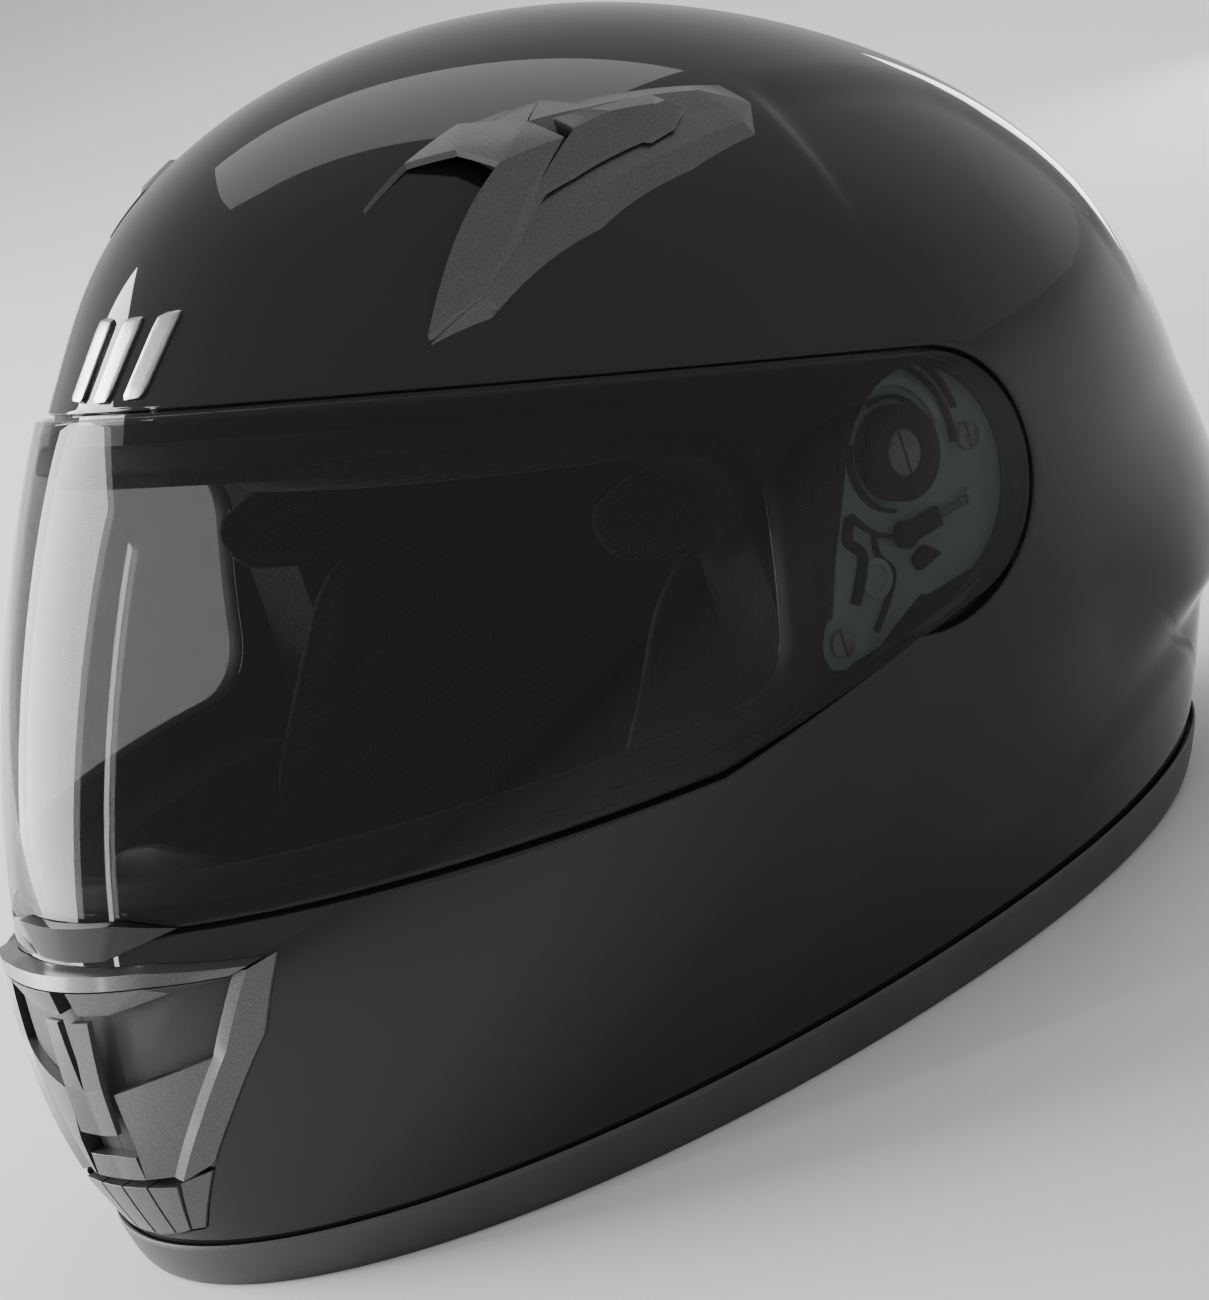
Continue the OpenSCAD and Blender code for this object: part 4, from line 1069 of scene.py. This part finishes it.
def crownLining():
    # ellipsoid dome with front-to-back channels: its thickness dips at each seam
    columns, rows = 220, 70
    turn = np.linspace(0, 2 * np.pi, columns, endpoint=False)
    yEdge = head["half"][1] * np.sin(turn)
    low = np.where(yEdge < -20, 14 + (-20 - yEdge) * 0.245, 14.0) + 1.0
    start = np.arcsin(np.clip(low / head["half"][2], 0, 1))
    rise = start[None] + (np.pi / 2 - start[None]) * np.linspace(0, 1, rows)[:, None]

    def at(offset, e):
        h = [v + offset for v in head["half"]]
        x, y, z = h[0] * np.cos(e) * np.cos(turn), h[1] * np.cos(e) * np.sin(turn), h[2] * np.sin(e)
        return np.stack(np.broadcast_arrays(x, y + head["middle"][1], z), -1)

    outer = at(-head["gap"], rise)
    plain = at(-head["gap"] - head["thick"], rise)
    channel = np.abs((plain[..., 0] / padLook["channel"] + 0.5) % 1 - 0.5)
    seam = np.exp(-(channel * padLook["channel"] / 1.8) ** 2) + 0.6 * np.exp(-(channel * padLook["channel"] / 5) ** 2)
    cross = np.exp(-((plain[..., 1] + 58) / 2.2) ** 2) + np.exp(-((plain[..., 1] - 52) / 2.2) ** 2)
    dip = np.clip(seam, 0, 1.3) * (plain[..., 1] > -60) + cross
    inner = at(-head["gap"] - head["thick"] + np.clip(padLook["quilt"] * 0.7 * dip, 0, 4.6), rise)
    edge = [outer[0] * (1 - t) + inner[0] * t - np.array([0, 0, 2.2 * math.sin(math.pi * t)])
            for t in np.linspace(0, 1, 8)]
    return [grid(outer, closed=True), grid(inner, closed=True, flip=True), grid(np.array(edge), closed=True,
                                                                             flip=True)]


build("crownLining", crownLining(), knit, replace=["crown_pad"])


def neckRollParts():
    # fat roll round the back of the neck, pinched at its stitches
    count = 150
    t = np.radians(np.linspace(26, 154, count))
    a, b, n = head["half"][0] - 11, head["half"][1] - 11, 2.6
    p = np.stack([a * np.sign(np.cos(t)) * np.abs(np.cos(t)) ** (2 / n), b * np.abs(np.sin(t)) ** (2 / n) - 2,
                  np.full(count, -107.0)], 1)
    along = np.r_[0, np.cumsum(np.linalg.norm(np.diff(p, axis=0), axis=1))]
    near = np.abs((along / along[-1] * 6) % 1 - 0.5)
    pinch = 1 - 0.14 * np.exp(-((0.5 - near) * along[-1] / 6 / 2.4) ** 2)
    end = np.clip(np.minimum(along, along[-1] - along) / 9, 0, 1)
    r = 9.9 * pinch * np.sqrt(np.clip(1 - (1 - end) ** 2, 0, 1))
    d = np.gradient(p, axis=0)
    d /= np.linalg.norm(d, axis=1)[:, None]
    out = np.cross(d, [0, 0, 1.0])
    q = np.linspace(0, 2 * np.pi, 32, endpoint=False)
    rows = p[:, None] + r[:, None, None] * (np.cos(q)[None, :, None] * out[:, None]
                                            + np.sin(q)[None, :, None] * np.array([0, 0, 0.97]))
    return [grid(rows, closed=True)]


build("neckRoll", neckRollParts(), knit, replace=["neck_roll"])


def curtainParts():
    # thin cloth under the chin, with a gathered elastic edge
    count, rows = 120, 22
    t = np.radians(270) + np.linspace(-1, 1, count) * math.radians(20.5)
    out, into = [], []
    for k in np.linspace(0, 1, rows):
        d = -12 - 33 * k
        z = -129.2 + 0.7 * k * np.sin(t * 60) + 0.5 * math.sin(math.pi * k)
        out.append(hemPoint(t, z + 0.5, d))
        into.append(hemPoint(t, z - 0.5, d))
    out, into = np.array(out), np.array(into)
    rim = lambda a, b: grid(np.stack([a, b]))
    return [grid(out), grid(into, flip=True), rim(into[0], out[0]), rim(out[-1], into[-1]),
            rim(out[:, 0], into[:, 0]), rim(into[:, -1], out[:, -1])]


curtain = build("chinCurtain", curtainParts(), knit, replace=["chin_curtain"], angle=60)
print("stage: pads")

# straps
strap = {"y": 20.0, "half": 12.5, "thick": 1.7}


def webStrip(path):
    # flat webbing swept along a path in front view, with round edges and a thread ridge along each side
    p = np.array(path, float)
    d = np.gradient(p, axis=0)
    d /= np.linalg.norm(d, axis=1)[:, None]
    n = np.stack([-d[:, 1], d[:, 0]], 1)
    h, w = strap["thick"] / 2, strap["half"]
    across0 = [(-w, 0), (-w + 0.4, 0.8 * h), (-w + 1.4, h), (-w + 2.4, 0.86 * h), (w - 2.4, 0.86 * h), (w - 1.4, h),
               (w - 0.4, 0.8 * h), (w, 0), (w - 0.4, -0.8 * h), (w - 1.4, -h), (w - 2.4, -0.86 * h),
               (-w + 2.4, -0.86 * h), (-w + 1.4, -h), (-w + 0.4, -0.8 * h)]
    rows = []
    for i in range(len(p)):
        rows.append([[p[i, 0] + n[i, 0] * v, strap["y"] + u, p[i, 1] + n[i, 1] * v] for u, v in across0])
    rows = np.array(rows)
    cap = [np.repeat(rows[k].mean(0)[None], len(across0), 0) for k in (0, -1)]
    return [grid(np.concatenate([cap[0][None], rows, cap[1][None]]), closed=True)]


def fromGround(z):
    # height above the floor to height above the pivot
    return z - 134.0


side = smoothLine([(79.6, fromGround(66)), (79.6, fromGround(58)), (79.4, fromGround(48)), (75.5, fromGround(30)), (69, fromGround(13)), (60, fromGround(6.3)),
                   (50, fromGround(6.0))], 90)
loop = arc((22.0, fromGround(9.5)), 3.1, -90, 90, 26)[0]
back = smoothLine([(22, fromGround(12.6)), (29.5, fromGround(12.6)), (33.5, fromGround(11.4)), (37, fromGround(8.6)), (40.5, fromGround(8.0))], 40)
leftPath = np.vstack([side, line((49, fromGround(6.0)), (23, fromGround(6.2)), 30)[0], loop[1:], back[1:]])
build("chinStrap_left", webStrip(leftPath), webbing, replace=["strap_left"], angle=60)
rightPath = np.vstack([side, line((49, fromGround(6.0)), (26, fromGround(6.0)), 30)[0]])
hem = webStrip(np.vstack([line((26, fromGround(6.0)), (26, fromGround(7.9)), 4)[0], line((26.2, fromGround(7.9)), (36, fromGround(7.9)), 14)[0]]))
build("chinStrap_right", turnedOver(webStrip(rightPath) + hem), webbing, replace=["strap_right"],
      angle=60)
print("stage: straps")

# breath guard and inner chin vent
guard = {"depth": -29.0, "inner": -31.2}


guardShape = [(-37, -48), (-22, -34), (0, -29), (22, -34), (37, -48), (31, -67), (-31, -67)]
guardParts = slab(frontPoint, guardShape, guard["depth"], low=guard["inner"], bevel=0.5, corner=7)
for x in (-20.0, -10.0, 0.0, 10.0, 20.0):
    guardParts += slab(frontPoint, [(x - 3.4, -52), (x + 3.4, -52), (x + 3.4, -49), (x - 3.4, -49)],
                       guard["depth"] + 1.0, low=guard["depth"] - 0.5, bevel=0.4, corner=1.2, fan=3)
build("breathGuard", guardParts, sealRubber, replace=["breath_guard"], angle=40)

# pivot mechanism details
plateX = 111.6


def sidePoint(y, z, level):
    y, z, level = np.broadcast_arrays(np.asarray(y, float), z, level)
    return np.stack([plateX + level, y, z], -1)


def band(place, path, width, low, top, bevel=0.25):
    # raised strip along a path, with bevelled edges and flat ends
    p = np.array(path, float)
    d = np.gradient(p, axis=0)
    d /= np.linalg.norm(d, axis=1)[:, None]
    n = np.stack([-d[:, 1], d[:, 0]], 1)
    w = width / 2
    rows = [place(*(p + n * u).T, np.full(len(p), v)) for u, v in
            ((w, low), (w, top - bevel), (w - bevel, top), (bevel - w, top), (-w, top - bevel), (-w, low))]
    rows = np.array(rows)
    caps = [np.stack([rows[:, k], np.repeat(rows[:, k].mean(0)[None], 6, 0)]) for k in (0, -1)]
    return [grid(rows), grid(rows[[-1, 0]]), grid(caps[0], closed=True, flip=True), grid(caps[1], closed=True)]


def mechanism():
    parts = []
    for r, a, b in ((13.9, 100, -40), (21.6, 75, -15), (24.6, 60, 5), (14.2, 250, 150), (20.5, 246, 205)):
        parts += band(sidePoint, arc((0, 0), r, a, b, 50)[0], 1.1, -0.2, 1.9)
    # curved arm down to the lower screw
    parts += band(sidePoint, smoothLine([(-19, -9), (-22, -14), (-19, -19), (-22.5, -25), (-26, -29)], 40), 2.6,
                  -0.2, 1.6)
    parts += band(sidePoint, smoothLine([(-13, -15), (-14, -21), (-11, -27), (-16, -33), (-22, -38)], 40), 1.4,
                  -0.2, 1.3)
    for corners in ([(-26, 4), (-20, 4), (-20, 9), (-26, 9)], [(-12, 14), (-5, 16), (-6, 20), (-12, 18)],
                    [(-3, -30.5), (6, -29), (1, -24.6), (-4, -26.4)]):
        parts += slab(sidePoint, corners, 1.5, low=-0.2, bevel=0.3, corner=0.6, fan=3)
    return parts


for flipped, name in ((False, "pivotRibs_left"), (True, "pivotRibs_right")):
    parts = turnedOver(mechanism()) if flipped else mechanism()
    build(name, parts, smokeBlack, angle=35)
for node in frame["nodes"]:
    if node.startswith(("visor_hub", "base_plate", "pivot_screw", "visor_latch", "strap_rivets", "d_ring")):
        obj = frame["nodes"][node]
        obj.data.shade_smooth()
        weld = obj.modifiers.new("weld", "WELD")
        weld.merge_threshold = 1e-6
        edge = obj.modifiers.new("edge", "BEVEL")
        edge.width, edge.segments, edge.limit_method, edge.angle_limit = 0.00018, 2, "ANGLE", math.radians(40)
        edge.harden_normals = True
print("stage: mechanism")

# badge: three plain slanted bars
def badgeAt(x, z, d):
    x, z, d = np.broadcast_arrays(np.asarray(x, float), z, d)
    y = -solve(lambda t: within(x, -t, z, d + outside(-t, z)), np.zeros(x.shape) + 20, np.zeros(x.shape) + 260)
    return np.stack([x, y, z], -1)


badgeParts = []
for s in (-1, 0, 1):
    corners = [(12 * s - 5, 74), (12 * s + 1.5, 74), (12 * s + 6.5, 90), (12 * s, 90)]
    badgeParts += [(v, f[:, ::-1]) for v, f in slab(badgeAt, corners, 1.1, low=0.1, bevel=0.4, corner=1.0, fan=4)]
build("foreheadBadge", badgeParts, badgeSilver, replace=["forehead_badge"], angle=40)

# camera, floor and light
camera = {
    "place": (1023.18, -821.95, 447.21), "forward": (-0.7583074, 0.6091697, -0.23212533),
    "right": (0.65129783, 0.69268891, -0.30982772), "up": (0.02794701, 0.38612737, 0.92202203),
    "focal": 5164.38, "aimRight": 12.93, "aimDown": 184.13, "tall": 1300.0,
}
eye = Vector(camera["place"]) / 1000 + Vector((0, pivot[1] / 1000, 0))
look = (Vector(camera["forward"]) + Vector(camera["right"]) * camera["aimRight"] / camera["focal"]
        - Vector(camera["up"]) * camera["aimDown"] / camera["focal"]).normalized()
right = (Vector(camera["right"]) - look * look.dot(Vector(camera["right"]))).normalized()
up = right.cross(look)
lens = bpy.data.cameras.new("studioCamera")
lens.sensor_width = 36
lens.lens = camera["focal"] / camera["tall"] * 36
lens.clip_start, lens.clip_end = 0.05, 60
cameraObject = bpy.data.objects.new("studioCamera", lens)
turn = Matrix((right, up, -look)).transposed().to_4x4()
cameraObject.matrix_world = Matrix.Translation(eye) @ turn
bpy.context.scene.collection.objects.link(cameraObject)
bpy.context.scene.camera = cameraObject

studio = {"floor": 0.82, "world": 0.6, "half": 15.0}


def plainFloor():
    across0 = np.linspace(-studio["half"], studio["half"], 9)
    x, y = np.meshgrid(across0, across0)
    v, f = grid(np.stack([x, y, np.zeros(x.shape)], -1))
    mesh = bpy.data.meshes.new("studioFloor")
    mesh.from_pydata(v.tolist(), [], f.tolist())
    obj = bpy.data.objects.new("studioFloor", mesh)
    bpy.context.scene.collection.objects.link(obj)
    m = Board("floor")
    tone = m.mix(m.noise(3, 3), grey(studio["floor"] * 0.99), grey(studio["floor"]))
    mesh.materials.append(m.finish(Base_Color=tone, Roughness=0.9, Specular_IOR_Level=0.1))


plainFloor()
world = bpy.data.worlds.new("studioWorld")
world.use_nodes = True
world.node_tree.nodes["Background"].inputs["Color"].default_value = (1, 1, 1, 1)
world.node_tree.nodes["Background"].inputs["Strength"].default_value = studio["world"]
bpy.context.scene.world = world


def softbox(name, azimuth, elevation, distance, width, height, power, aim=(0, 0, 0.13)):
    a, e = math.radians(azimuth), math.radians(elevation)
    light = bpy.data.lights.new(name, "AREA")
    light.shape = "RECTANGLE"
    light.size, light.size_y, light.energy = width, height, power
    obj = bpy.data.objects.new(name, light)
    back = Vector((math.sin(a) * math.cos(e), -math.cos(a) * math.cos(e), math.sin(e)))
    obj.location = Vector(aim) + back * distance
    obj.rotation_mode = "QUATERNION"
    obj.rotation_quaternion = (-back).to_track_quat("-Z", "Y")
    bpy.context.scene.collection.objects.link(obj)
    return obj


softbox("tallLeft", -64, 12, 1.7, 1.25, 1.45, 100)
softbox("tallLeftEdge", -27, 13, 1.7, 0.06, 1.3, 5)
softbox("shoulder", -157, 1, 1.0, 0.22, 0.26, 1.2)
softbox("overBox", 222, 56, 2.6, 2.2, 1.3, 13)
print("stage: camera, floor and lights")
